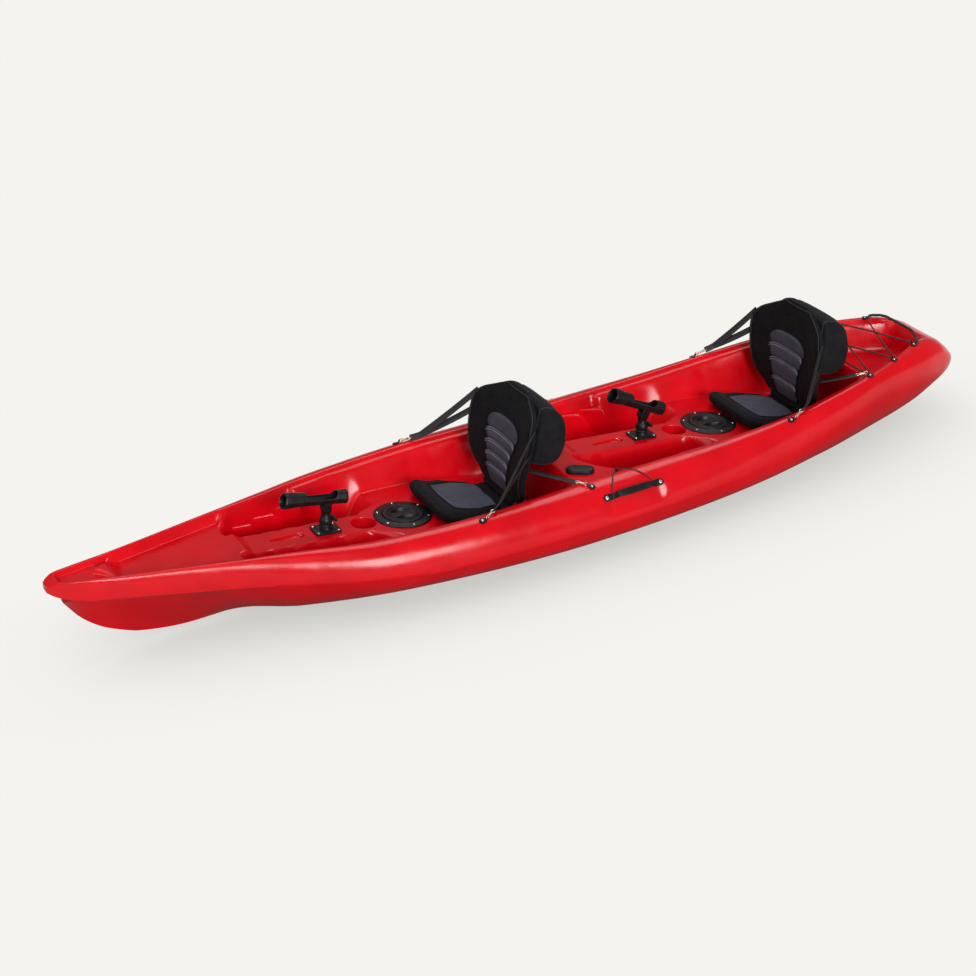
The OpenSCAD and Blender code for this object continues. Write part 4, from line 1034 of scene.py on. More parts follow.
@dataclass
class FastenerScatter:
    """Copies one small fitting onto many points, facing out of the surface, with a node tree."""

    name: str
    material: Finish
    size: float = 1.0

    def tree(self) -> bpy.types.NodeTree:
        """Builds the node tree with its named inputs.

        Returns:
            The tree.
        """
        tree = bpy.data.node_groups.new(f"{self.name}_scatter", "GeometryNodeTree")
        face = tree.interface
        for name, kind in (("Geometry", "Geometry"), ("Fitting", "Object"), ("Size", "Float"),
                           ("Finish", "Material")):
            face.new_socket(name=name, in_out="INPUT", socket_type=f"NodeSocket{kind}")
        face.new_socket(name="Geometry", in_out="OUTPUT", socket_type="NodeSocketGeometry")
        new = tree.nodes.new
        start, end = new("NodeGroupInput"), new("NodeGroupOutput")
        fitting = new("GeometryNodeObjectInfo")
        facing = new("GeometryNodeInputNamedAttribute")
        facing.data_type = "FLOAT_VECTOR"
        facing.inputs["Name"].default_value = "facing"
        align = new("FunctionNodeAlignRotationToVector")
        align.axis = "Z"
        spread = new("GeometryNodeInstanceOnPoints")
        real = new("GeometryNodeRealizeInstances")
        paint = new("GeometryNodeSetMaterial")
        for source, out, target, into in (
                (start, "Fitting", fitting, "Object"), (facing, "Attribute", align, "Vector"),
                (start, "Geometry", spread, "Points"), (fitting, "Geometry", spread, "Instance"),
                (align, "Rotation", spread, "Rotation"), (start, "Size", spread, "Scale"),
                (spread, "Instances", real, "Geometry"), (real, "Geometry", paint, "Geometry"),
                (start, "Finish", paint, "Material"), (paint, "Geometry", end, "Geometry")):
            tree.links.new(source.outputs[out], target.inputs[into])
        return tree

    def build(self, fitting: Form, frames: Sequence[Matrix]) -> Piece:
        """Makes the copies.

        Args:
            fitting: The fitting's form, standing on the origin.
            frames: A frame for each copy, with Z out of the surface, in millimetres.

        Returns:
            One piece that holds all the copies.
        """
        model = make(f"{self.name}_model", fitting, self.material, 40)
        mesh = bpy.data.meshes.new(self.name)
        mesh.from_pydata([(f.translation * MM)[:] for f in frames], [], [])
        facing = mesh.attributes.new("facing", "FLOAT_VECTOR", "POINT")
        for k, matrix in enumerate(frames):
            facing.data[k].vector = matrix.to_3x3() @ Vector((0, 0, 1))
        piece = bpy.data.objects.new(self.name, mesh)
        bpy.context.scene.collection.objects.link(piece)
        step = piece.modifiers.new("scatter", "NODES")
        step.node_group = self.tree()
        values = {"Fitting": model, "Size": self.size, "Finish": self.material}
        for item in step.node_group.interface.items_tree:
            if item.in_out == "INPUT" and item.name in values:
                step[item.identifier] = values[item.name]
        settle(piece)
        bpy.data.objects.remove(model)
        piece.data.materials.clear()
        piece.data.materials.append(self.material)
        piece.data.polygons.foreach_set("material_index", [0] * len(piece.data.polygons))
        shade(piece, 40)
        return piece


def screw_head() -> Form:
    """Round screw head with a driver's recess."""
    return lathe([(0.2, 0.0), (4.5, 0.0), (4.4, 0.9), (3.6, 1.8), (2.2, 2.2), (1.7, 2.1), (1.4, 1.0),
                  (0.2, 0.9)], 14)


@dataclass
class Hatch:
    """A twist hatch on a console: ring, seal and ribbed lid with a grip bar."""

    palette: Palette
    berth: Berth
    outer: float = 106.0
    opening: float = 76.0
    screws: int = 6

    def ring(self) -> Form:
        """Ring with a rolled outer edge and a neck into the deck."""
        r, o = self.opening, self.outer
        return turned_ring([(r, 6.0), (r + 1.2, 6.9), (r + 5, 7.0), (r + 7.5, 5.8), (o - 9, 5.8),
                            (o - 4, 5.4), (o - 1.2, 3.8), (o, 1.6), (o, 0.3), (r + 4, 0.3),
                            (r + 4, -24), (r, -24), (r, -8), (r - 10, -8), (r - 10, -4), (r, -4)])

    def lid_height(self, x: np.ndarray, y: np.ndarray) -> np.ndarray:
        """Top surface of the lid: rolled rim, rings of ribs, and two finger wells beside the grip bar."""
        r = np.hypot(x, y)
        z = np.full_like(r, 8.3)
        z = z + 1.8 * rise(58, 62, r) * (1 - rise(71, 74.6, r)) - 5.5 * rise(72.6, 74.8, r)
        for groove in (48.5, 53.0, 57.5):
            z = z - 1.3 * np.exp(-((r - groove) / 0.9) ** 2)
        well = 1 - rise(39, 45, r)
        half = 11 + 13 * (np.abs(x) / 45) ** 1.6
        bar = 1 - rise(half - 1.5, half + 4.5, np.abs(y))
        return z - 12.0 * well * (1 - bar) - 0.8 * well * bar

    def lid(self) -> Form:
        """Lid: polar grid for its top, closed below with a skirt."""
        radii = np.concatenate([np.linspace(0.4, 46, 34), np.linspace(46.8, 60, 22),
                                np.linspace(60.8, 74.8, 18)])
        turns = np.linspace(0, 2 * math.pi, 144, endpoint=False)
        rings = []
        for r in radii:
            x, y = r * np.cos(turns), r * np.sin(turns)
            rings.append(np.stack([x, y, self.lid_height(x, y)], axis=1))
        for r, z in ((74.8, -0.3), (63.6, -0.4), (63.6, -14.4), (59.6, -14.4), (59.6, -8.0), (0.4, -8.0)):
            rings.append(np.stack([r * np.cos(turns), r * np.sin(turns), np.full_like(turns, z)], axis=1))
        return loft(rings)

    def screw_frames(self) -> list[Matrix]:
        """Frames of the ring's screws."""
        base = LINES.console_frame(self.berth, LINES.hatch_offset)
        out = []
        for k in range(self.screws):
            turn = Matrix.Rotation((k + 0.5) * 2 * math.pi / self.screws, 4, "Z")
            out.append(base @ turn @ slide(93.0, 0, 5.8))
        return out

    def dress(self) -> None:
        """Builds the ring and lid in place of their solids, and finishes the seal."""
        label, base = self.berth.label, LINES.console_frame(self.berth, LINES.hatch_offset)
        ring = make(f"{label}_hatch_flange", self.ring().placed(base), self.palette.fitting, 30)
        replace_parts(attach(ring, "hull"), f"{label}_hatch_ring")
        lid = make(f"{label}_hatch_cover", self.lid().placed(base), self.palette.fitting, 45)
        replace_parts(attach(lid, f"{label}_hatch_lid"), f"{label}_hatch_lid")
        coat(f"{label}_hatch_gasket", self.palette.rubber)


def coat(node: str, material: Finish) -> None:
    """Gives a carried-over solid a material."""
    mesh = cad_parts[node].data
    mesh.materials.clear()
    mesh.materials.append(material)


@dataclass
class RodHolder:
    """A rod holder on a console: base plate, swivelling post, clamp lever and tilting cradle."""

    palette: Palette
    berth: Berth
    tilt: float
    offset: float = 666.0
    pivot_height: float = 84.0
    tube_rise: float = 42.5

    def base_frame(self) -> Matrix:
        """Frame of the base on the console."""
        return LINES.console_frame(self.berth, self.offset)

    def base(self) -> Piece:
        """Base plate with rounded corners, a raised pad and the swivel boss."""
        outline = rounded_rectangle(96, 76, 9)
        pad = rounded_rectangle(70, 56, 12)
        form = loft([[(x, y, z) for x, y in outline] for z in (0.3, 7.3)])
        form.add(loft([[(x, y, 6.0) for x, y in pad], [(x * 0.92, y * 0.92, 9.2) for x, y in pad]]))
        form.add(lathe([(0.3, 6), (24, 6), (22, 10.5), (21, 17.3), (9, 17.3), (9, 31.3), (0.3, 31.3)], 40))
        piece = make(f"{self.berth.label}_rod_plate", form.placed(self.base_frame()), self.palette.fitting)
        return bevelled(piece, 1.2, 2)

    def post(self) -> Piece:
        """Post with a collar, a ball-like swell and a lug for the tilt pin."""
        form = lathe([(9.1, 17.6), (21, 17.6), (23, 19.2), (23, 23.5), (21.2, 25.2), (20.4, 27),
                      (22.6, 31), (23.8, 37), (23.4, 43), (21, 49), (17.5, 54), (14.5, 58), (13.2, 64),
                      (12.8, 70), (0.3, 72)], 48)
        lug = []
        for y, grow in ((-12, 0.0), (-11, 1.0), (11, 1.0), (12, 0.0)):
            r = 14 + grow
            arc = [(r * math.cos(a), self.pivot_height + r * math.sin(a))
                   for a in np.linspace(-0.2, math.pi + 0.2, 25)]
            foot = [(-r * 0.8, 54.0), (r * 0.8, 54.0)]
            lug.append([(px, y, pz) for px, pz in arc + foot])
        form.add(loft(lug))
        piece = make(f"{self.berth.label}_rod_stem", form.placed(self.base_frame()), self.palette.fitting)
        return bevelled(piece, 0.8, 2)

    def knob(self) -> Piece:
        """Clamp lever: a ribbed hub and a two-winged grip."""
        turns = np.linspace(0, 2 * math.pi, 60, endpoint=False)
        rings = []
        for z, r, rib in ((24.4, 8.6, 0.0), (25.2, 9.4, 0.5), (31, 9.4, 0.5), (32.3, 8.2, 0.0)):
            rings.append([((r + rib * math.cos(15 * a)) * math.cos(a),
                           (r + rib * math.cos(15 * a)) * math.sin(a), z) for a in turns])
        form = loft(rings)
        form.add(lathe([(0.2, 5.5), (3, 5.5), (3, 25), (0.2, 25)], 20))
        wing = []
        for y in np.linspace(-24, 24, 13):
            w = 4.0 - 0.4 * abs(math.cos(y / 24 * math.pi / 2))
            top = 38.0 - 4.0 * (abs(y) / 24) ** 2
            wing.append([(-w, y, 26.5), (w, y, 26.5), (w * 0.8, y, top), (-w * 0.8, y, top)])
        form.add(loft(wing))
        place = self.base_frame() @ slide(0, 0, 42) @ spin(-90, "Y")
        piece = make(f"{self.berth.label}_clamp_lever", form.placed(place), self.palette.fitting)
        return bevelled(piece, 0.9, 2)

    def cradle(self) -> Piece:
        """Cradle: an eight-sided tube with a flared mouth, an open saddle, and two ears on the tilt pin."""
        turns = np.linspace(0, 2 * math.pi, 64, endpoint=False)
        stations = ((-72, 25.6), (-70, 26.4), (-62, 26.4), (-55, 25.6), (-38, 25.4), (84, 25.4),
                    (112, 25.6), (130, 27.4), (146, 29.2), (160, 29.8), (165, 29.4), (166, 28.4))
        rings = []
        for x, r in stations:
            ring = []
            for a in turns:
                flat = math.cos(math.pi / 8) / math.cos((a % (math.pi / 4)) - math.pi / 8)
                q = r * (0.35 + 0.65 * (flat / 0.962))
                slant = 5.0 * math.sin(a) * float(rise(100, 150, x))
                ring.append((x - slant, q * math.cos(a), self.tube_rise + q * math.sin(a)))
            rings.append(ring)
        tube = make(f"{self.berth.label}_rod_cup", loft(rings), self.palette.fitting)
        bore = lathe([(0.3, -130), (21.5, -130), (21.5, 134), (24.6, 160), (26.4, 167), (28, 190),
                      (0.3, 190)], 56)
        turn = slide(0, 0, self.tube_rise) @ spin(90, "Y")
        saddle = []
        for y in (-60.0, 60.0):
            ring = []
            for a in np.linspace(math.pi, 2 * math.pi, 25):
                c = math.cos(a)
                straight = 37 * np.sign(c) * (1 if abs(c) > 1e-9 else 0)
                ring.append((24 + straight + 22 * c, y, self.tube_rise + 24 + 22 * math.sin(a)))
            ring.extend([(83.0, y, self.tube_rise + 60), (-35.0, y, self.tube_rise + 60)])
            saddle.append(ring)
        cut(tube, [bore.placed(turn), loft(saddle)])
        ears = Form()
        for side in Side:
            rings = []
            for depth, shrink in ((12.3, 0.0), (18.4, 0.0), (19.3, 1.2)):
                r = 15 - shrink
                arc = [(r * math.cos(a), r * math.sin(a)) for a in np.linspace(math.pi, 2 * math.pi, 21)]
                head = [(r, 24.0), (r * 0.75, 33.0), (-r * 0.75, 33.0), (-r, 24.0)]
                rings.append([(px, side.value * depth, pz) for px, pz in arc + head])
            ears.add(loft(rings))
        ears.add(lathe([(0.2, -21.5), (6.5, -21.5), (6.5, -19.2), (5, -19.2), (5, 19.2), (6.5, 19.2),
                        (6.5, 21.5), (0.2, 21.5)], 24).placed(spin(90, "X")))
        cut(tube, [ears], add=True)
        pivot = self.base_frame() @ slide(0, 0, self.pivot_height)
        lean = spin(LINES.console_pitch - self.tilt, "Y")
        metres, millimetres = (Matrix.Diagonal((s, s, s, 1)) for s in (MM, 1 / MM))
        tube.data.transform(metres @ pivot @ lean @ millimetres)
        return bevelled(tube, 0.9, 2, 40)

    def screw_frames(self) -> list[Matrix]:
        """Frames of the base plate's screws."""
        return [self.base_frame() @ slide(38.0 * i, 28.0 * j, 7.3) for i in (-1, 1) for j in (-1, 1)]

    def dress(self) -> None:
        """Builds the four pieces in place of their solids."""
        label = self.berth.label
        for piece, node, body in ((self.base(), "rod_base", "hull"),
                                  (self.post(), "rod_post", f"{label}_rod_post"),
                                  (self.knob(), "rod_knob", f"{label}_rod_knob"),
                                  (self.cradle(), "rod_cradle", f"{label}_rod_cradle")):
            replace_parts(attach(piece, body), f"{label}_{node}")


def rounded_rectangle(length: float, width: float, radius: float,
                      steps: int = 6) -> list[tuple[float, float]]:
    """Outline of a rectangle with rounded corners.

    Args:
        length: Size along X.
        width: Size along Y.
        radius: Radius of the corners.
        steps: Points on a corner.

    Returns:
        The outline, anticlockwise.
    """
    out = []
    for k, (sx, sy) in enumerate(((1, 1), (-1, 1), (-1, -1), (1, -1))):
        x, y = sx * (length / 2 - radius), sy * (width / 2 - radius)
        for a in np.linspace(k * math.pi / 2, (k + 1) * math.pi / 2, steps):
            out.append((x + radius * math.cos(a), y + radius * math.sin(a)))
    return out


def stadium(length: float, width: float, steps: int = 17) -> list[tuple[float, float]]:
    """Outline of a strip with round ends along X."""
    reach = (length - width) / 2
    out = []
    for start, shift in ((-math.pi / 2, reach), (math.pi / 2, -reach)):
        for a in np.linspace(start, start + math.pi, steps):
            out.append((shift + width / 2 * math.cos(a), width / 2 * math.sin(a)))
    return out


@dataclass
class RodSocket:
    """A flush rod socket in the deck with a hinged cap."""

    palette: Palette
    side: Side
    length: float = 104.0
    width: float = 58.0

    @staticmethod
    def place(side: Side) -> Matrix:
        """Frame of a socket: X aft and outboard along the flange, Z up."""
        z = float(LINES.deck_z(*SOCKET_PLACE))
        port = slide(*SOCKET_PLACE, z) @ spin(SOCKET_HEADING, "Z")
        return side.flip @ port

    def cap(self) -> Piece:
        """Domed oval cap with two shallow ribs along it."""
        rings = []
        for share, z in ((0.97, 4.6), (1.0, 5.4), (1.0, 8.2), (0.985, 9.6), (0.94, 11.0), (0.86, 12.4),
                         (0.74, 13.6), (0.58, 14.5), (0.38, 15.1), (0.15, 15.4)):
            inset = (1 - share) * self.width / 2
            flat = np.array(stadium(self.length - 2 * inset, self.width - 2 * inset, 25))
            rings.append([(x, y, z + (0.7 * math.cos(y / 3.2) if z > 11 else 0)) for x, y in flat])
        piece = make(f"{self.side.name.lower()}_socket_lid", loft(rings).placed(self.place(self.side)),
                     self.palette.fitting, 50)
        return piece

    def dress(self) -> None:
        """Finishes the socket and builds its cap."""
        label = self.side.name.lower()
        coat(f"{label}_rod_socket", self.palette.fitting)
        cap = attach(self.cap(), f"{label}_socket_cap")
        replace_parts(cap, f"{label}_socket_cap")


@dataclass
class Padding:
    """Turns a closed form into a stuffed pad by inflating its cover."""

    voxel: float = 5.0
    pressure: float = 4.0
    travel: float = 8.0
    frames: int = 20

    def swell(self, piece: Piece) -> Piece:
        """Inflates the piece's cover, holding each point near its start.

        Args:
            piece: A closed piece, a little smaller than the finished pad.

        Returns:
            The same piece, as a plain mesh.
        """
        remesh = piece.modifiers.new("even_mesh", "REMESH")
        remesh.mode = "VOXEL"
        remesh.voxel_size = self.voxel * MM
        settle(piece)
        self.inflate(piece)
        divide = piece.modifiers.new("fine", "SUBSURF")
        divide.levels = 1
        divide.render_levels = 1
        settle(piece)
        shade(piece, 180)
        return piece

    def inflate(self, piece: Piece) -> None:
        """Runs the cloth for its frames and keeps the capped result."""
        start = points_of(piece)
        cloth = piece.modifiers.new("cover", "CLOTH")
        cloth.settings.use_pressure = True
        cloth.settings.uniform_pressure_force = self.pressure
        cloth.settings.effector_weights.gravity = 0
        cloth.settings.quality = 5
        cloth.point_cache.frame_start = 1
        cloth.point_cache.frame_end = self.frames
        scene = bpy.context.scene
        for number in range(1, self.frames + 1):
            scene.frame_set(number)
        graph = bpy.context.evaluated_depsgraph_get()
        end = points_of(piece.evaluated_get(graph))
        piece.modifiers.clear()
        scene.frame_set(1)
        move = end - start
        far = np.linalg.norm(move, axis=1)
        limit = self.travel * MM
        move *= np.minimum(1, limit / np.maximum(far, 1e-9))[:, None]
        piece.data.vertices.foreach_set("co", (start + move).ravel())
        piece.data.update()


def points_of(piece: Piece) -> np.ndarray:
    """Gives a piece's points as an array, in metres."""
    out = np.empty(len(piece.data.vertices) * 3)
    piece.data.vertices.foreach_get("co", out)
    return out.reshape(-1, 3)


class Surface:
    """Finds points on a finished piece along a direction."""

    def __init__(self, piece: Piece) -> None:
        """Keeps a search tree of the piece's mesh."""
        work = bmesh.new()
        work.from_mesh(piece.data)
        self.tree = BVHTree.FromBMesh(work)
        work.free()

    def hit(self, start: Point, way: Point) -> Vector:
        """Gives the first point met along a direction, or else the nearest point, in millimetres."""
        place, _, _, _ = self.tree.ray_cast(Vector(start) * MM, Vector(way).normalized())
        if place is None:
            place, _, _, _ = self.tree.find_nearest(Vector(start) * MM)
        return place / MM


@dataclass
class Seat:
    """A folding seat: cushion, back with a lumbar panel, and a pack behind it."""

    palette: Palette
    berth: Berth
    cushion_length: float = 276.0
    cushion_width: float = 372.0
    cushion_thick: float = 46.0
    cushion_rear: float = 14.0
    cushion_waist: float = 262.0
    back_height: float = 413.0
    back_width: float = 470.0
    back_thick: float = 40.0
    wing_reach: float = 42.0
    hinge_height: float = 58.0
    flap_thick: float = 10.0
    flap_front: tuple[float, float] = (26.0, 34.0)
    flap_ends: tuple = ((120, 0.80), (117, 0.95), (112, 1.0))
    cushion_swell: float = 5.0
    back_swell: float = 2.0
    pack_swell: float = 3.0
    pack_size: tuple[float, float, float] = (136.0, 306.0, 230.0)
    pack_bottom: float = 150.0
    panel_top: float = 0.70
    outline: tuple = (
        (0, .62), (.1, .77), (.27, .88), (.45, .96), (.58, 1), (.7, .985), (.76, .93), (.82, .83),
        (.9, .57), (.96, .36), (1, .16))
    body: tuple = ((0, .5), (.15, .9), (.35, 1), (.7, .9), (.9, .6), (1, .34))

    def pan_frame(self) -> Matrix:
        """Frame at the seat, with its height from the floor."""
        return slide(self.berth.seat_x, 0, 0)

    def back_frame(self) -> Matrix:
        """Frame on the hinge: Z up the leaning back."""
        height = float(LINES.pan_z(self.berth.hinge_x - self.berth.seat_x)) + self.hinge_height
        lift = slide(self.berth.hinge_x, 0, height)
        return lift @ spin(-self.berth.lean, "Y")

    def cushion_ring(self, share: float, height: float, count: int = 72) -> list[Point]:
        """One ring of the cushion: share of its outline, and height above the sloping pan."""
        out = []
        for a in np.linspace(0, 2 * math.pi, count, endpoint=False):
            c, s = math.cos(a), math.sin(a)
            x = self.cushion_length / 2 * share * math.copysign(abs(c) ** 0.45, c)
            u = self.cushion_rear + self.cushion_length / 2 + x
            width = float(mix(self.cushion_waist, self.cushion_width,
                              rise(self.cushion_rear, self.cushion_rear + 170, u)))
            y = width / 2 * share * math.copysign(abs(s) ** 0.45, s)
            lift = float(LINES.pan_z(u)) + 20 * float(rise(190, 290, u))
            dish = 5 * math.exp(-((u - 150) / 70) ** 2 - (y / 110) ** 2) if height > 30 else 0
            out.append((u, y, height + lift - dish))
        return out

    def cushion(self) -> Piece:
        """Cushion pad, inflated."""
        t = self.cushion_thick
        section = ((0.10, 1.0), (0.5, 0.8), (0.90, 0.8), (0.955, t * 0.14), (0.975, t * 0.4),
                   (0.975, t * 0.66), (0.94, t * 0.86), (0.86, t * 0.95), (0.5, t * 0.96),
                   (0.10, t * 0.96))
        rings = [self.cushion_ring(share, z) for share, z in section]
        piece = make(f"{self.berth.label}_cushion_pad", loft(rings).placed(self.pan_frame()),
                     self.palette.foam)
        Padding(travel=self.cushion_swell).swell(piece)
        low = points_of(piece)
        floor = LINES.pan_z(low[:, 0] / MM - self.berth.seat_x) + 0.5
        low[:, 2] = np.maximum(low[:, 2], floor * MM)
        piece.data.vertices.foreach_set("co", low.ravel())
        return piece

    def flap(self) -> Piece:
        """Hinge flap: foam wedge from the cushion's rear edge up to the hem of the back."""
        hinge = self.berth.hinge_x - self.berth.seat_x
        rear, (front, crest) = hinge - self.flap_thick / 2, self.flap_front
        floor, top = 0.6, self.hinge_height - 14
        profile = ((rear, floor), (front, floor), (front, crest), (hinge + 5, top - 2), (hinge, top),
                   (rear, top - 2))
        rings = []
        for y, share in [(-y, s) for y, s in self.flap_ends] + list(reversed(self.flap_ends)):
            rings.append([(u, y, float(LINES.pan_z(u)) + floor + (z - floor) * share) for u, z in profile])
        return make(f"{self.berth.label}_hinge_flap", loft(rings).placed(self.pan_frame()),
                    self.palette.foam)

    def half_at(self, v: float) -> float:
        """Half width of the back at a share of its height."""
        return self.back_width / 2 * self.table(self.outline, v)

    @staticmethod
    def table(rows: tuple, v: float) -> float:
        """Reads a table at a share of the height."""
        places, values = zip(*rows)
        return float(np.interp(v, places, values))

    def back_ring(self, v: float, count: int = 64) -> list[Point]:
        """One ring of the back at a share of its height."""
        half, thick = self.half_at(v), self.back_thick * self.table(self.body, v)
        out = []
        for a in np.linspace(0, 2 * math.pi, count, endpoint=False):
            c, s = math.cos(a), math.sin(a)
            y = half * math.copysign(abs(c) ** 0.8, c)
            spread = float(rise(0.02, 0.3, v) * (1 - rise(0.75, 1, v)))
            wing = self.wing_reach * (2 * y / self.back_width) ** 2 * spread
            bulge = 6 * float(rise(0.05, 0.25, v) * (1 - rise(0.4, 0.62, v))) if s > 0 else 0
            x = thick / 2 * math.copysign(abs(s) ** 0.5, s) + (thick - self.back_thick) / 2 + wing + bulge
            out.append((x, y, 2 + (self.back_height - 2) * v))
        return out

    def back(self) -> Piece:
        """Back pad, inflated, with its hinge hem."""
        heights = np.concatenate([np.linspace(0, 0.9, 40), np.linspace(0.91, 0.985, 10)])
        rings = [self.back_ring(v) for v in heights]
        form = loft(rings)
        hem = lathe([(0.5, -110), (10, -110), (12.5, -106), (12.5, 106), (10, 110), (0.5, 110)], 28)
        form = form.placed(self.back_frame())
        piece = make(f"{self.berth.label}_back_pad", form, self.palette.foam)
        roll = hem.placed(self.back_frame() @ spin(90, "X"))
        cut(piece, [roll], add=True)
        return Padding(travel=self.back_swell).swell(piece)

    def panel_half(self, v: float) -> float:
        """Half width of the lumbar panel at a share of the back's height."""
        body = float(np.interp(v, (0.02, 0.34, 0.6, 0.7), (69, 91, 122, 128)))
        if v > 0.55:
            body *= math.sqrt(max(0.0, 1 - ((v - 0.55) / (self.panel_top - 0.55)) ** 2.4))
        return body

    def on_back(self, skin: Surface, y: float, v: float, lift: float) -> tuple[float, float, float]:
        """Point in front of the back's finished surface.

        Args:
            skin: The back's surface.
            y: Place across.
            v: Share of the height.
            lift: Distance out of the surface.

        Returns:
            The point in the boat's frame.
        """
        start = self.back_frame() @ Vector((160, y, 2 + (self.back_height - 2) * v))
        way = self.back_frame().to_3x3() @ Vector((-1, 0, 0))
        return tuple(skin.hit(start, way) - way * lift)

    def lumbar(self, skin: Surface) -> list[Piece]:
        """Quilted lumbar panel and its piping.

        Args:
            skin: The back's surface.

        Returns:
            The panel and the piping.
        """
        top = self.panel_top - 0.002
        heights = np.linspace(0.03, top, 104)
        shares = np.linspace(-1, 1, 49)
        edges = (0.03, *self.berth.channels, top)
        rows = []
        for v in heights:
            row = []
            gap = min(abs(v - c) for c in edges)
            puff = 7.0 * (1 - math.exp(-(gap / 0.022) ** 2))
            for s in shares:
                rim = (1 - abs(s) ** 6) * min(1.0, (top - v) / 0.03 + 0.1, (v - 0.03) / 0.02 + 0.1)
                y = s * max(6.0, self.panel_half(v))
                row.append(self.on_back(skin, y, v, -2.5 + (2.5 + 1.5 + puff) * max(0.0, rim)))
            rows.append(row)
        points = [p for row in rows for p in row]
        form = Form(points, grid_faces(len(rows), len(shares)))
        panel = make(f"{self.berth.label}_lumbar_panel", form, self.palette.quilt, SOFT_EDGE, turn=False)
        face_out(panel, self.back_frame().to_3x3() @ Vector((1, 0, 0)))
        lines = Form()
        for c in self.berth.channels:
            for shift in (-0.010, 0.010):
                half = self.panel_half(c) * 0.93
                route = [self.on_back(skin, y, c + shift + 0.03 * (abs(y) / half) ** 6 * -1, 3.4)
                         for y in np.linspace(-half, half, 25)]
                lines.add(sweep(smooth_route(route, 3), 1.5, 8))
        border = [self.on_back(skin, -self.panel_half(v), v, 1.2)
                  for v in np.linspace(0.03, top - 0.035, 30)]
        border += [self.on_back(skin, s * self.panel_half(top - 0.028), top - 0.02 * s * s, 1.2)
                   for s in np.linspace(-0.9, 0.9, 12)]
        border += [self.on_back(skin, self.panel_half(v), v, 1.2)
                   for v in np.linspace(top - 0.035, 0.03, 30)]
        edge = make(f"{self.berth.label}_panel_welt", sweep(smooth_route(border, 2), 2.6, 8),
                    self.palette.foam, SOFT_EDGE)
        piping = make(f"{self.berth.label}_panel_piping", lines, self.palette.piping, SOFT_EDGE)
        return [panel, edge, piping]

    def back_welt(self, skin: Surface) -> Piece:
        """Piping round the front edge of the back."""
        route = []
        for v in np.linspace(0.10, 0.93, 44):
            y = self.half_at(v) - 15
            route.append(self.on_back(skin, y, v, 0.3))
        half = self.half_at(0.95) - 16
        top = [self.on_back(skin, y, 0.955, 0.3) for y in np.linspace(half, -half, 7)]
        left = [(p[0], -p[1], p[2]) for p in reversed(route)]
        line = route + top + left
        return make(f"{self.berth.label}_back_welt", sweep(smooth_route(line, 2), 2.4, 8),
                    self.palette.webbing, SOFT_EDGE)

    def cushion_panel(self, skin: Surface) -> list[Piece]:
        """Grey panel set into the cushion's top, with its welt."""
        rows = []
        for u in np.linspace(32, 222, 50):
            half = float(np.interp(u, (32, 60, 120, 222), (92, 104, 122, 108)))
            row = []
            for s in np.linspace(-1, 1, 49):
                rim = (1 - abs(s) ** 8) * min(1.0, (222 - u) / 12 + 0.05, (u - 32) / 8 + 0.05)
                x = u - 10 * s * s * float(rise(150, 222, u))
                place = skin.hit((self.berth.seat_x + x, s * half, 400), (0, 0, -1))
                row.append((place.x, place.y, place.z - 2.5 + 7.0 * max(0.0, rim)))
            rows.append(row)
        points = [p for row in rows for p in row]
        form = Form(points, grid_faces(50, 49))
        panel = make(f"{self.berth.label}_cushion_panel", form, self.palette.quilt, SOFT_EDGE, turn=False)
        face_out(panel, Vector((0, 0, 1)))
        rim = [rows[k][0] for k in range(50)] + rows[-1] + [rows[k][-1] for k in range(49, -1, -1)]
        route = np.array([(x, y, z + 3.4) for x, y, z in rim[::2]])
        welt = make(f"{self.berth.label}_cushion_welt", sweep(smooth_route(route, 2), 2.2, 8),
                    self.palette.foam, SOFT_EDGE)
        return [panel, welt]

    def pack_ring(self, y: float, share: float) -> list[Point]:
        """One section of the pack at a place across, shrunk towards its middle by a share."""
        corners = np.array([(0, 0), (-0.55, -0.02), (-0.86, 0.06), (-1.0, 0.28), (-0.98, 0.52),
                            (-0.84, 0.78), (-0.52, 0.96), (-0.2, 1.02), (0, 1.0)])
        size = np.array([self.pack_size[0] - 2, self.pack_size[2] - 4])
        path = smooth_route([(x, z, 0) for x, z in corners], 6)[:, :2] * size
        middle = size * (-0.46, 0.5)
        path = middle + (path - middle) * share
        return [(-self.back_thick / 2 - 3 + x, y, self.pack_bottom + 2 + z) for x, z in path]

    def pack(self) -> Piece:
        """Pack behind the back: a lofted bag that swells and sags."""
        half = self.pack_size[1] / 2 - 3
        shape = ((1.0, 0.82), (0.965, 0.9), (0.88, 0.95), (0.42, 0.985))
        rings = [self.pack_ring(-half * y, s) for y, s in shape] + [self.pack_ring(0, 0.99)]
        rings += [self.pack_ring(half * y, s) for y, s in reversed(shape)]
        form = loft(rings).placed(self.back_frame())
        piece = make(f"{self.berth.label}_pack_bag", form, self.palette.pack)
        return Padding(voxel=6.0, travel=self.pack_swell).swell(piece)

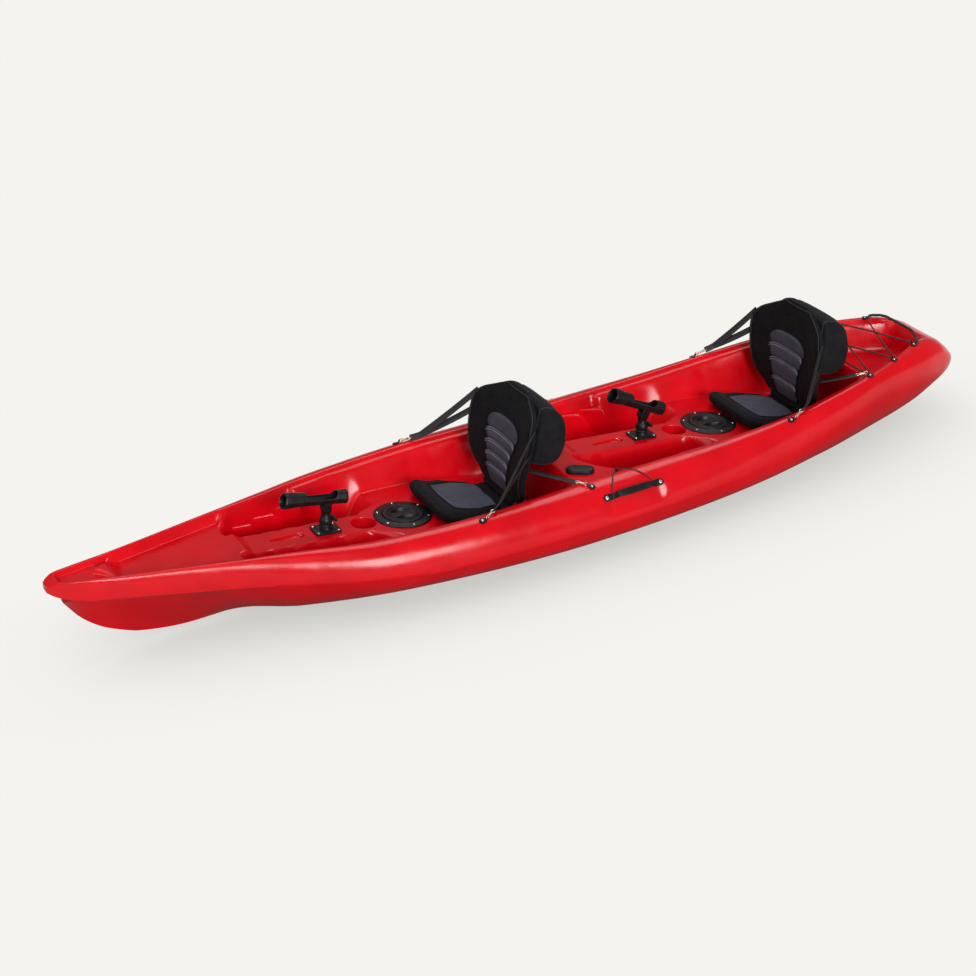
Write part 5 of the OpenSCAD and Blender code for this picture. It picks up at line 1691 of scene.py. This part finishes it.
    def pack_trim(self, skin: Surface) -> list[Piece]:
        """Zip and edge piping of the pack."""
        place, turn = self.back_frame(), self.back_frame().to_3x3()
        zip_line = []
        for y in np.linspace(-126, 126, 31):
            start = place @ Vector((-100, y, 520))
            hit = skin.hit(start, turn @ Vector((0, 0, -1)))
            zip_line.append(tuple(hit + turn @ Vector((0, 0, 0.6))))
        across = np.tile(np.array(turn @ Vector((1, 0, 0))), (len(zip_line) * 2 - 1, 1))
        zip_form = ribbon(smooth_route(zip_line, 2), across, 9.0, 2.0)
        out = [make(f"{self.berth.label}_pack_zip", zip_form, self.palette.webbing, SOFT_EDGE)]
        edge = Form()
        for y in (-136.0, 136.0):
            route = []
            for a in np.linspace(math.radians(-60), math.radians(205), 40):
                b = a + math.pi / 2
                aim = Vector((-82 + 300 * math.cos(b), y, 265 + 300 * math.sin(b)))
                start = place @ aim
                hit = skin.hit(start, (place @ Vector((-82, y * 0.98, 265))) - start)
                if (place.inverted() @ hit).x < -self.back_thick / 2 - 2:
                    route.append(tuple(hit))
            edge.add(sweep(smooth_route(route, 2), 2.4, 8))
        out.append(make(f"{self.berth.label}_pack_piping", edge, self.palette.webbing, SOFT_EDGE))
        return out

    def dress(self) -> None:
        """Builds the seat's soft pieces in place of their solids."""
        label, body = self.berth.label, f"{self.berth.label}_seat_back"
        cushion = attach(self.cushion(), "hull")
        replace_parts(cushion, f"{label}_seat_cushion")
        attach(self.flap(), "hull")
        for piece in self.cushion_panel(Surface(cushion)):
            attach(piece, "hull")
        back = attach(self.back(), body)
        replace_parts(back, f"{label}_seat_back")
        skin = Surface(back)
        for piece in [*self.lumbar(skin), self.back_welt(skin)]:
            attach(piece, body)
        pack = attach(self.pack(), body)
        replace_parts(pack, f"{label}_seat_pack")
        for piece in self.pack_trim(Surface(pack)):
            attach(piece, body)


def face_out(piece: Piece, way: Vector) -> None:
    """Turns an open sheet so that its faces look along a direction."""
    total = sum((p.normal * p.area for p in piece.data.polygons), Vector())
    if total.dot(way) < 0:
        piece.data.flip_normals()
    thick = piece.modifiers.new("cloth", "SOLIDIFY")
    thick.thickness = 1.2 * MM
    thick.offset = -1
    settle(piece)
    shade(piece, SOFT_EDGE)


@dataclass
class Eye:
    """A padeye on the gunwale: its place, and the heading of its loop."""

    x: float
    turn: float
    heading: float
    upright: bool = False
    reach: float = 15.3

    def frame(self) -> Matrix:
        """Frame on the port gunwale, with X along the loop's heading."""
        return LINES.gunwale_frame(self.x, self.turn) @ spin(self.heading, "Z")

    def lift(self) -> float:
        """Height of the loop's middle."""
        return 7.9 if self.upright else 2.8 + 5.3 * math.sin(math.radians(50))

    def centre(self) -> np.ndarray:
        """Middle of the loop on the port side."""
        return np.array(self.frame() @ Vector((self.reach, 0, self.lift())))

    def loop(self) -> Form:
        """Wire loop of the padeye."""
        turn = spin(90, "X") if self.upright else spin(-50, "Y")
        return torus(5.3, 4.0).placed(self.frame() @ slide(self.reach, 0, self.lift()) @ turn)


@dataclass
class Rigging:
    """Padeyes, seat straps and hooks, paddle keepers, stern lacing and handles."""

    palette: Palette
    eyes: tuple[Eye, ...] = (Eye(402, 15, 180), Eye(-35, 15, -42), Eye(-891, 15, 180),
                             Eye(-1305, 0, -90, True), Eye(-1451, 0, -90, True),
                             Eye(-1590, 0, -90, True))
    hook_length: float = 50.0
    fork: tuple[float, float, float] = (135.0, 315.0, 24.0)
    rear_arm: tuple[float, float, float] = (-10.0, 170.0, 148.0)
    upper_arm: tuple[float, float, float] = (29.0, 212.0, 314.0)
    lower_arm: tuple[float, float, float] = (40.0, 226.0, 228.0)
    webbing: tuple[float, float] = (25.0, 2.5)
    webbing_across: tuple[float, float, float] = (0.0, 0.8, 0.6)
    webbing_steps: int = 17
    handle_x: float = -176.0
    handle_turn: float = 45.0
    handle_screw: tuple[float, float] = (110.0, 5.3)
    keeper_inset: float = 34.0
    keeper_bend: float = 6.3
    drain: tuple[float, float] = (-1785.0, 45.0)
    bungee: float = 3.0
    rope: float = 5.2
    keeper_cord: float = 2.0

    def padeyes(self) -> None:
        """Builds the padeyes and their screws."""
        frames = []
        loops = Form()
        for eye in self.eyes:
            for side in Side:
                frames.append(side.flip @ eye.frame() @ slide(0, 0, 0.3))
            loops.add(eye.loop().both_sides())
        button = lathe([(0.2, 0), (12.4, 0), (13, 0.8), (13, 3.0), (12.2, 4.4), (9.5, 5.2), (6.2, 5.4),
                        (5.6, 4.6), (0.2, 4.6)], 28)
        buttons = FastenerScatter("padeye_buttons", self.palette.fitting).build(button, frames)
        loops_piece = make("padeye_loops", loops, self.palette.fitting, SOFT_EDGE)
        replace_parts(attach(buttons, "hull"), "padeyes")
        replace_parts(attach(loops_piece, "hull"), "padeye_loops")
        tops = [f @ slide(0, 0, 4.4) for f in frames]
        screws = FastenerScatter("padeye_screw_heads", self.palette.steel, 1.15).build(screw_head(), tops)
        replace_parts(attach(screws, "hull"), "padeye_screws")

    def screws(self, hatches: Sequence[Hatch], holders: Sequence[RodHolder]) -> None:
        """Builds the screws of the hatches, rod holders and carry handles."""
        handle = LINES.gunwale_frame(self.handle_x, self.handle_turn)
        reach, up = self.handle_screw
        ends = [side.flip @ handle @ slide(reach * s, 0, up) for s in (-1, 1) for side in Side]
        rings = [f for h in hatches for f in h.screw_frames()]
        plates = [f for h in holders for f in h.screw_frames()]
        for name, node, frames, size in (("hatch_screw_heads", "hatch_screws", rings, 1.0),
                                         ("rod_plate_screw_heads", "rod_base_screws", plates, 1.05),
                                         ("handle_screw_heads", "handle_screws", ends, 1.7)):
            piece = FastenerScatter(name, self.palette.steel, size).build(screw_head(), frames)
            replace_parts(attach(piece, "hull"), node)

    def on_back(self, berth: Berth, place: Point) -> np.ndarray:
        """Point of a leaning back in the boat's frame."""
        return np.array(Seat(self.palette, berth).back_frame() @ Vector(place))

    def strap_eyes(self, berth: Berth) -> tuple[Eye, ...]:
        """Padeyes of a seat's front and rear straps."""
        return self.eyes[:2] if berth is Berth.FRONT else self.eyes[2:4]

    def strap_joint(self, berth: Berth) -> np.ndarray:
        """Place where the two arms of a front strap meet."""
        ahead, y, up = self.fork
        x = berth.seat_x + ahead
        return np.array([x, y, float(LINES.crest_z(x)) + up])

    def strap_end(self, start: np.ndarray, eye: Eye) -> np.ndarray:
        """Place where a strap meets its hook."""
        at = eye.centre()
        way = (at - start) / np.linalg.norm(at - start)
        return at - (self.hook_length - 8) * way

    def band(self, start: np.ndarray, end: np.ndarray, lying: bool, sag: float = 3.0) -> Form:
        """Stretch of webbing between two points, with a slight sag."""
        t = np.linspace(0, 1, self.webbing_steps)
        route = start + (end - start) * t[:, None]
        route[:, 2] -= sag * 4 * t * (1 - t)
        across = np.array(self.webbing_across)
        if lying:
            way = (end - start) / np.linalg.norm(end - start)
            across = np.cross(way, [0, 0, 1.0])
        return ribbon(route, np.tile(across, (self.webbing_steps, 1)), *self.webbing)

    def straps(self, berth: Berth) -> None:
        """Builds one seat's four straps, run from points on its back."""
        front, rear = self.strap_eyes(berth)
        joint = self.strap_joint(berth)
        upper, lower = self.on_back(berth, self.upper_arm), self.on_back(berth, self.lower_arm)
        end = self.strap_end(joint, front)
        form = self.band(upper, joint, False).add(self.band(lower, joint, False))
        form.add(self.band(joint, end, False, 0.5))
        low = self.on_back(berth, self.rear_arm)
        back_end = self.strap_end(low, rear)
        rear_form = self.band(low, back_end, True, 2.0)
        for name, shape, a, b, node in (("front_webbing", form, end, upper, "front_straps"),
                                        ("rear_webbing", rear_form, back_end, low, "rear_straps")):
            for side in Side:
                piece = make(f"{berth.label}_{side.name.lower()}_{name}", shape.placed(side.flip),
                             self.palette.webbing, SOFT_EDGE)
                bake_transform(piece)
                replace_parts(piece, f"{berth.label}_seat_{node}")

    def hook(self, start: np.ndarray, eye: Eye) -> Form:
        """Snap hook from a strap's end to a padeye."""
        at = eye.centre()
        way = Vector((at - start) / np.linalg.norm(at - start))
        turn = way.to_track_quat("X", "Z").to_matrix().to_4x4()
        place = Matrix.Translation(at.tolist()) @ turn
        n = self.hook_length
        form = torus(6.0, 3.6).placed(slide(-6, 0, 0) @ spin(90, "X"))
        form.add(torus(7.0, 3.6).placed(slide(9 - n, 0, 0)))
        profile = [(0.3, -12), (3.6, -12), (4.4, -15), (3.4, -18), (4.2, -21), (3.4, -24), (4.2, -27),
                   (3.6, -31), (4.4, -34), (3.0, 17 - n), (0.3, 17 - n)]
        form.add(lathe([(r, z) for r, z in reversed(profile)], 16).placed(spin(90, "Y")))
        gate = sweep(smooth_route([(-2, 0, 4.5), (-9, 0, 7.6), (-18, 0, 5.0)], 5), 1.2, 8)
        return form.add(gate).placed(place)

    def hooks(self) -> None:
        """Builds the eight seat hooks."""
        form = Form()
        for berth in Berth:
            front, rear = self.strap_eyes(berth)
            form.add(self.hook(self.strap_joint(berth), front).both_sides())
            form.add(self.hook(self.on_back(berth, self.rear_arm), rear).both_sides())
        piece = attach(make("snap_hooks", form, self.palette.brass, SOFT_EDGE), "hull")
        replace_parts(piece, "seat_hooks")

    def handle(self) -> None:
        """Builds the two carry handles: end pads and a thick grip."""
        profile = []
        for x in np.linspace(-123, 123, 83):
            far = abs(x)
            low = 0.3 + 14 * float(1 - rise(62, 88, far))
            thick = 5 + 5.5 * float(1 - rise(60, 90, far))
            wide = 13 - 2.2 * float(rise(40, 70, far) * (1 - rise(78, 92, far)))
            end = math.sqrt(max(0.0, 1 - ((far - 110) / 13.2) ** 2)) if far > 110 else 1.0
            ring = []
            for a in np.linspace(0, 2 * math.pi, 24, endpoint=False):
                c, s = math.cos(a), math.sin(a)
                ring.append((x, wide * max(end, 0.12) * math.copysign(abs(c) ** 0.45, c),
                             low + thick / 2 + thick / 2 * math.copysign(abs(s) ** 0.5, s)))
            profile.append(ring)
        form = loft(profile)
        for x in np.linspace(-44, 44, 12):
            rib = rounded_rectangle(3.0, 22.0, 1.4, 4)
            form.add(loft([[(x + px, py, 23.6) for px, py in rib], [(x + px, py, 25.4) for px, py in rib]]))
        frame_here = LINES.gunwale_frame(self.handle_x, self.handle_turn)
        for side in Side:
            piece = make(f"{side.name.lower()}_grip_handle", form.placed(side.flip @ frame_here),
                         self.palette.fitting, 45)
            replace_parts(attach(piece, "hull"), f"{side.name.lower()}_carry_handle")

    def keeper(self) -> None:
        """Builds the paddle keepers: buttons and their cords."""
        y = float(LINES.crest_y(self.handle_x)) - self.keeper_inset
        z = float(LINES.deck_z(self.handle_x, y)) + 0.3
        bend = self.keeper_bend
        handle = LINES.gunwale_frame(self.handle_x, self.handle_turn)
        half = [np.array(handle @ Vector((84, -15.3, 5)))]
        for dx, turn in ((68, 25), (52, 12), (34, 0)):
            half.append(np.array(LINES.gunwale_frame(self.handle_x + dx, turn) @ Vector((0, 0, 3.5))))
        for a in (0, 45):
            half.append(np.array([self.handle_x + bend * math.cos(math.radians(a)),
                                  y - bend * math.sin(math.radians(a)), z + 4]))
        back = [np.array([2 * self.handle_x - p[0], p[1], p[2]]) for p in reversed(half)]
        route = smooth_route(half + [np.array([self.handle_x, y - bend, z + 4])] + back, 8)
        cord = sweep(route, self.keeper_cord, 10)
        knob = lathe([(0.2, 0), (4, 0), (4, 7.5), (6.2, 8.2), (7, 9.4), (6.6, 11), (4.5, 12),
                      (0.2, 12.2)], 24)
        posts = knob.placed(slide(self.handle_x, y, z)).both_sides()
        buttons = make("keeper_posts", posts, self.palette.fitting, 40)
        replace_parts(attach(buttons, "hull"), "keeper_buttons")
        for side in Side:
            piece = make(f"{side.name.lower()}_keeper_cord", cord.placed(side.flip),
                         self.palette.bungee, SOFT_EDGE)
            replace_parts(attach(piece, "hull"), f"{side.name.lower()}_paddle_bungee")
            self.declare(piece, route * [1, side.value, 1], 2 * self.keeper_cord)

    @staticmethod
    def declare(piece: Piece, route: np.ndarray, diameter: float) -> None:
        """Takes a cord's centreline and thickness and does nothing with them; both of its ends are on the
        boat.

        Args:
            piece: The cord; not used.
            route: Its centreline, in millimetres; not used.
            diameter: Its thickness, in millimetres; not used.
        """

    def lacing(self) -> None:
        """Builds the tank well's bungee and the stern handle's rope."""
        flip = np.array([1, -1, 1])
        stern, middle, front = (self.eyes[k].centre() for k in (5, 4, 3))
        run, bow = np.array([5.0, 0, 0]), np.array([11.0, -8.0, 0])

        def through(p: np.ndarray) -> list[np.ndarray]:
            """Three points that pass through a loop."""
            return [p - run, p, p + run]

        def over(a: np.ndarray, b: np.ndarray, up: float) -> list[np.ndarray]:
            """Middle of a stretch, lifted where two stretches cross."""
            return [(a + b) / 2 + np.array([0, 0, up])]

        out = [*through(stern), *over(stern, middle * flip, 4), *through(middle * flip),
               *over(middle * flip, front, 4), *through(front), front + bow]
        home = [*through(stern * flip), *over(stern * flip, middle, -4), *through(middle),
                *over(middle, front * flip, -4), *through(front * flip), (front + bow) * flip]
        straight = []
        points = out + home[::-1]
        for a, b in zip(points[:-1], points[1:]):
            straight.extend([a + (b - a) * t for t in np.linspace(0, 1, 9)[:-1]])
        straight.append(points[-1])
        bungee = make("stern_lacing", sweep(np.array(straight), self.bungee, 10), self.palette.bungee,
                      SOFT_EDGE)
        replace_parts(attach(bungee, "hull"), "tank_bungee")
        self.declare(bungee, np.array(straight), 2 * self.bungee)
        end = LINES.gunwale(-1590, 0) + np.array([-17.6, 0, 6.4])
        half = [end, *(end + np.array(p) for p in ((-12, -24, 9), (-22, -56, 16), (-26, -90, 19)))]
        rope = smooth_route(half + [p * flip for p in reversed(half)], 14)
        handle = make("stern_rope", sweep(rope, self.rope, 24, strands=3), self.palette.bungee, SOFT_EDGE)
        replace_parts(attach(handle, "hull"), "stern_handle")
        self.declare(handle, rope, 2 * self.rope)

    def small_parts(self) -> None:
        """Builds the drain plug and finishes the slot eyes."""
        base = Side.STARBOARD.flip @ LINES.gunwale_frame(*self.drain)
        cap = lathe([(0.3, 0.3), (12.4, 0.3), (13, 1.2), (13, 3.6), (11.6, 5.4), (8, 6.2), (0.3, 6.3)], 36)
        plug = make("drain_cap", cap.placed(base), self.palette.fitting, 50)
        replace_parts(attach(plug, "hull"), "drain_plug")
        coat("slot_eyes", self.palette.steel)

    def dress(self, hatches: Sequence[Hatch], holders: Sequence[RodHolder]) -> None:
        """Builds all the rigging."""
        self.padeyes()
        self.screws(hatches, holders)
        for berth in Berth:
            self.straps(berth)
        self.hooks()
        self.handle()
        self.keeper()
        self.lacing()
        self.small_parts()


@dataclass(frozen=True)
class Viewpoint:
    """The camera, at the photograph's place and angle."""

    place: tuple[float, float, float] = (3.03582, 5.88652, 3.71300)
    yaw: float = -2.01924285
    pitch: float = -0.494840273
    roll: float = -0.0681224
    focal_px: float = 2040.61
    image_px: float = 976.0

    def build(self) -> None:
        """Makes the camera."""
        level = math.cos(self.pitch)
        way = Vector((level * math.cos(self.yaw), level * math.sin(self.yaw), math.sin(self.pitch)))
        right = way.cross(Vector((0, 0, 1))).normalized()
        up = right.cross(way)
        x = math.cos(self.roll) * right + math.sin(self.roll) * up
        y = math.cos(self.roll) * up - math.sin(self.roll) * right
        data = bpy.data.cameras.new("camera")
        data.sensor_width = 36.0
        data.lens = 36.0 * self.focal_px / self.image_px
        data.clip_end = 100.0
        camera = bpy.data.objects.new("camera", data)
        turn = Matrix((x, y, -way)).transposed().to_4x4()
        camera.matrix_world = Matrix.Translation(self.place) @ turn
        bpy.context.scene.collection.objects.link(camera)
        bpy.context.scene.camera = camera


@dataclass(frozen=True)
class Studio:
    """Plain pale floor and soft light."""

    pale: tuple[float, float, float] = (0.905, 0.896, 0.862)
    # Painted shadow tones of the floor: the first is the shadow the camera sees, the next two are the darker
    # painted shadow that reflections see.
    shadow: tuple[float, float, float] = (0.54, 0.535, 0.51)
    reflected_shadow_core: tuple[float, float, float] = (0.05, 0.05, 0.048)
    reflected_shadow_rim: tuple[float, float, float] = (0.16, 0.16, 0.154)
    ground: tuple[float, float, float] = (0.42, 0.41, 0.39)
    sky: tuple[float, float, float] = (1.0, 0.99, 0.97)
    sky_strength: float = 0.22
    shadow_reach: float = 0.55
    reflected_shadow_reach: float = 1.6
    lamps: tuple = (("key", 90, 21, 24, 2.5), ("back", -122, 58, 34, 0.8), ("top", 35, 54, 56, 1.0))

    def floor(self) -> None:
        """Makes the floor: pale where it is seen, with a soft painted shadow from occlusion, a darker, wider
        painted shadow where reflections see it, and plain matt ground for the light.
        """
        mesh = bpy.data.meshes.new("floor")
        corners = ((-1, -1), (1, -1), (1, 1), (-1, 1))
        mesh.from_pydata([(FLOOR_REACH * x, FLOOR_REACH * y, FLOOR_LEVEL) for x, y in corners], [],
                         [(0, 1, 2, 3)])
        p = Pattern("pale_floor")
        p.finish(Base_Color=(*self.ground, 1), Roughness=1.0, Specular_IOR_Level=0.0)
        # Painted shadow: occlusion darkens the floor's colour near the boat; the second tone, darker and
        # wider, is the painted shadow that reflections see.
        tones = []
        for reach, stops in ((self.shadow_reach, ((0.0, self.shadow), (0.96, self.pale))),
                             (self.reflected_shadow_reach, ((0.0, self.reflected_shadow_core), (0.85, self.reflected_shadow_rim), (1.0, self.pale)))):
            near = p.node("ShaderNodeAmbientOcclusion", Distance=reach)
            near.samples = 16
            tones.append(p.colours(near.outputs["AO"], stops))
        path = p.node("ShaderNodeLightPath")
        pick = p.node("ShaderNodeMixRGB")
        p.link(path.outputs["Is Glossy Ray"], pick.inputs["Fac"])
        p.link(tones[0], pick.inputs["Color1"])
        p.link(tones[1], pick.inputs["Color2"])
        glow = p.node("ShaderNodeEmission", Strength=1.0)
        p.link(pick.outputs["Color"], glow.inputs["Color"])
        seen = path.outputs["Is Camera Ray"]
        for ray in ("Is Glossy Ray", "Is Transmission Ray"):
            either = p.node("ShaderNodeMath", operation="MAXIMUM")
            p.link(seen, either.inputs[0])
            p.link(path.outputs[ray], either.inputs[1])
            seen = either.outputs[0]
        choose = p.node("ShaderNodeMixShader")
        p.link(seen, choose.inputs["Fac"])
        p.link(p.shader.outputs["BSDF"], choose.inputs[1])
        p.link(glow.outputs["Emission"], choose.inputs[2])
        p.link(choose.outputs["Shader"], p.tree.nodes["Material Output"].inputs["Surface"])
        mesh.materials.append(p.material)
        floor = bpy.data.objects.new("floor", mesh)
        bpy.context.scene.collection.objects.link(floor)

    def lamp(self, name: str, azimuth: float, height: float, spread: float, power: float) -> None:
        """Adds a soft distant lamp.

        Args:
            name: Its name.
            azimuth: Its bearing in degrees from +X towards +Y.
            height: Its height above the horizon in degrees.
            spread: Its angular width in degrees.
            power: Its light on a facing surface, in watts for each square metre.
        """
        data = bpy.data.lights.new(name, "SUN")
        data.angle = math.radians(spread)
        data.energy = power
        lamp = bpy.data.objects.new(name, data)
        a, h = math.radians(azimuth), math.radians(height)
        way = Vector((math.cos(a) * math.cos(h), math.sin(a) * math.cos(h), math.sin(h)))
        lamp.matrix_world = Matrix.Translation(way * 8) @ way.to_track_quat("Z", "Y").to_matrix().to_4x4()
        bpy.context.scene.collection.objects.link(lamp)

    def build(self) -> None:
        """Makes the floor, the lamps and the world."""
        scene = bpy.context.scene
        scene.view_settings.view_transform = "Standard"
        self.floor()
        for settings in self.lamps:
            self.lamp(*settings)
        world = bpy.data.worlds.new("studio")
        scene.world = world
        world.use_nodes = True
        back = world.node_tree.nodes["Background"]
        back.inputs["Color"].default_value = (*self.sky, 1)
        back.inputs["Strength"].default_value = self.sky_strength


def main() -> None:
    """Builds the boat piece by piece and reports each."""
    logging.basicConfig(level=logging.INFO, format="%(name)s: %(message)s")
    Viewpoint().build()
    Studio().build()
    palette = Palette.mixed()
    hatches = [Hatch(palette, berth) for berth in Berth]
    holders = [RodHolder(palette, Berth.FRONT, 12.0), RodHolder(palette, Berth.REAR, 28.0)]
    steps: list[tuple[str, Callable[[], None]]] = [("moulded shell", Moulding(palette).dress)]
    steps += [(f"{hatch.berth.label} hatch", hatch.dress) for hatch in hatches]
    steps += [(f"{holder.berth.label} rod holder", holder.dress) for holder in holders]
    steps += [(f"{side.name.lower()} rod socket", RodSocket(palette, side).dress) for side in Side]
    steps += [(f"{berth.label} seat", Seat(palette, berth).dress) for berth in Berth]
    steps += [("rigging", lambda: Rigging(palette).dress(hatches, holders))]
    for name, step in steps:
        step()
        LOG.info("built %s", name)


if __name__ == "__main__":
    main()
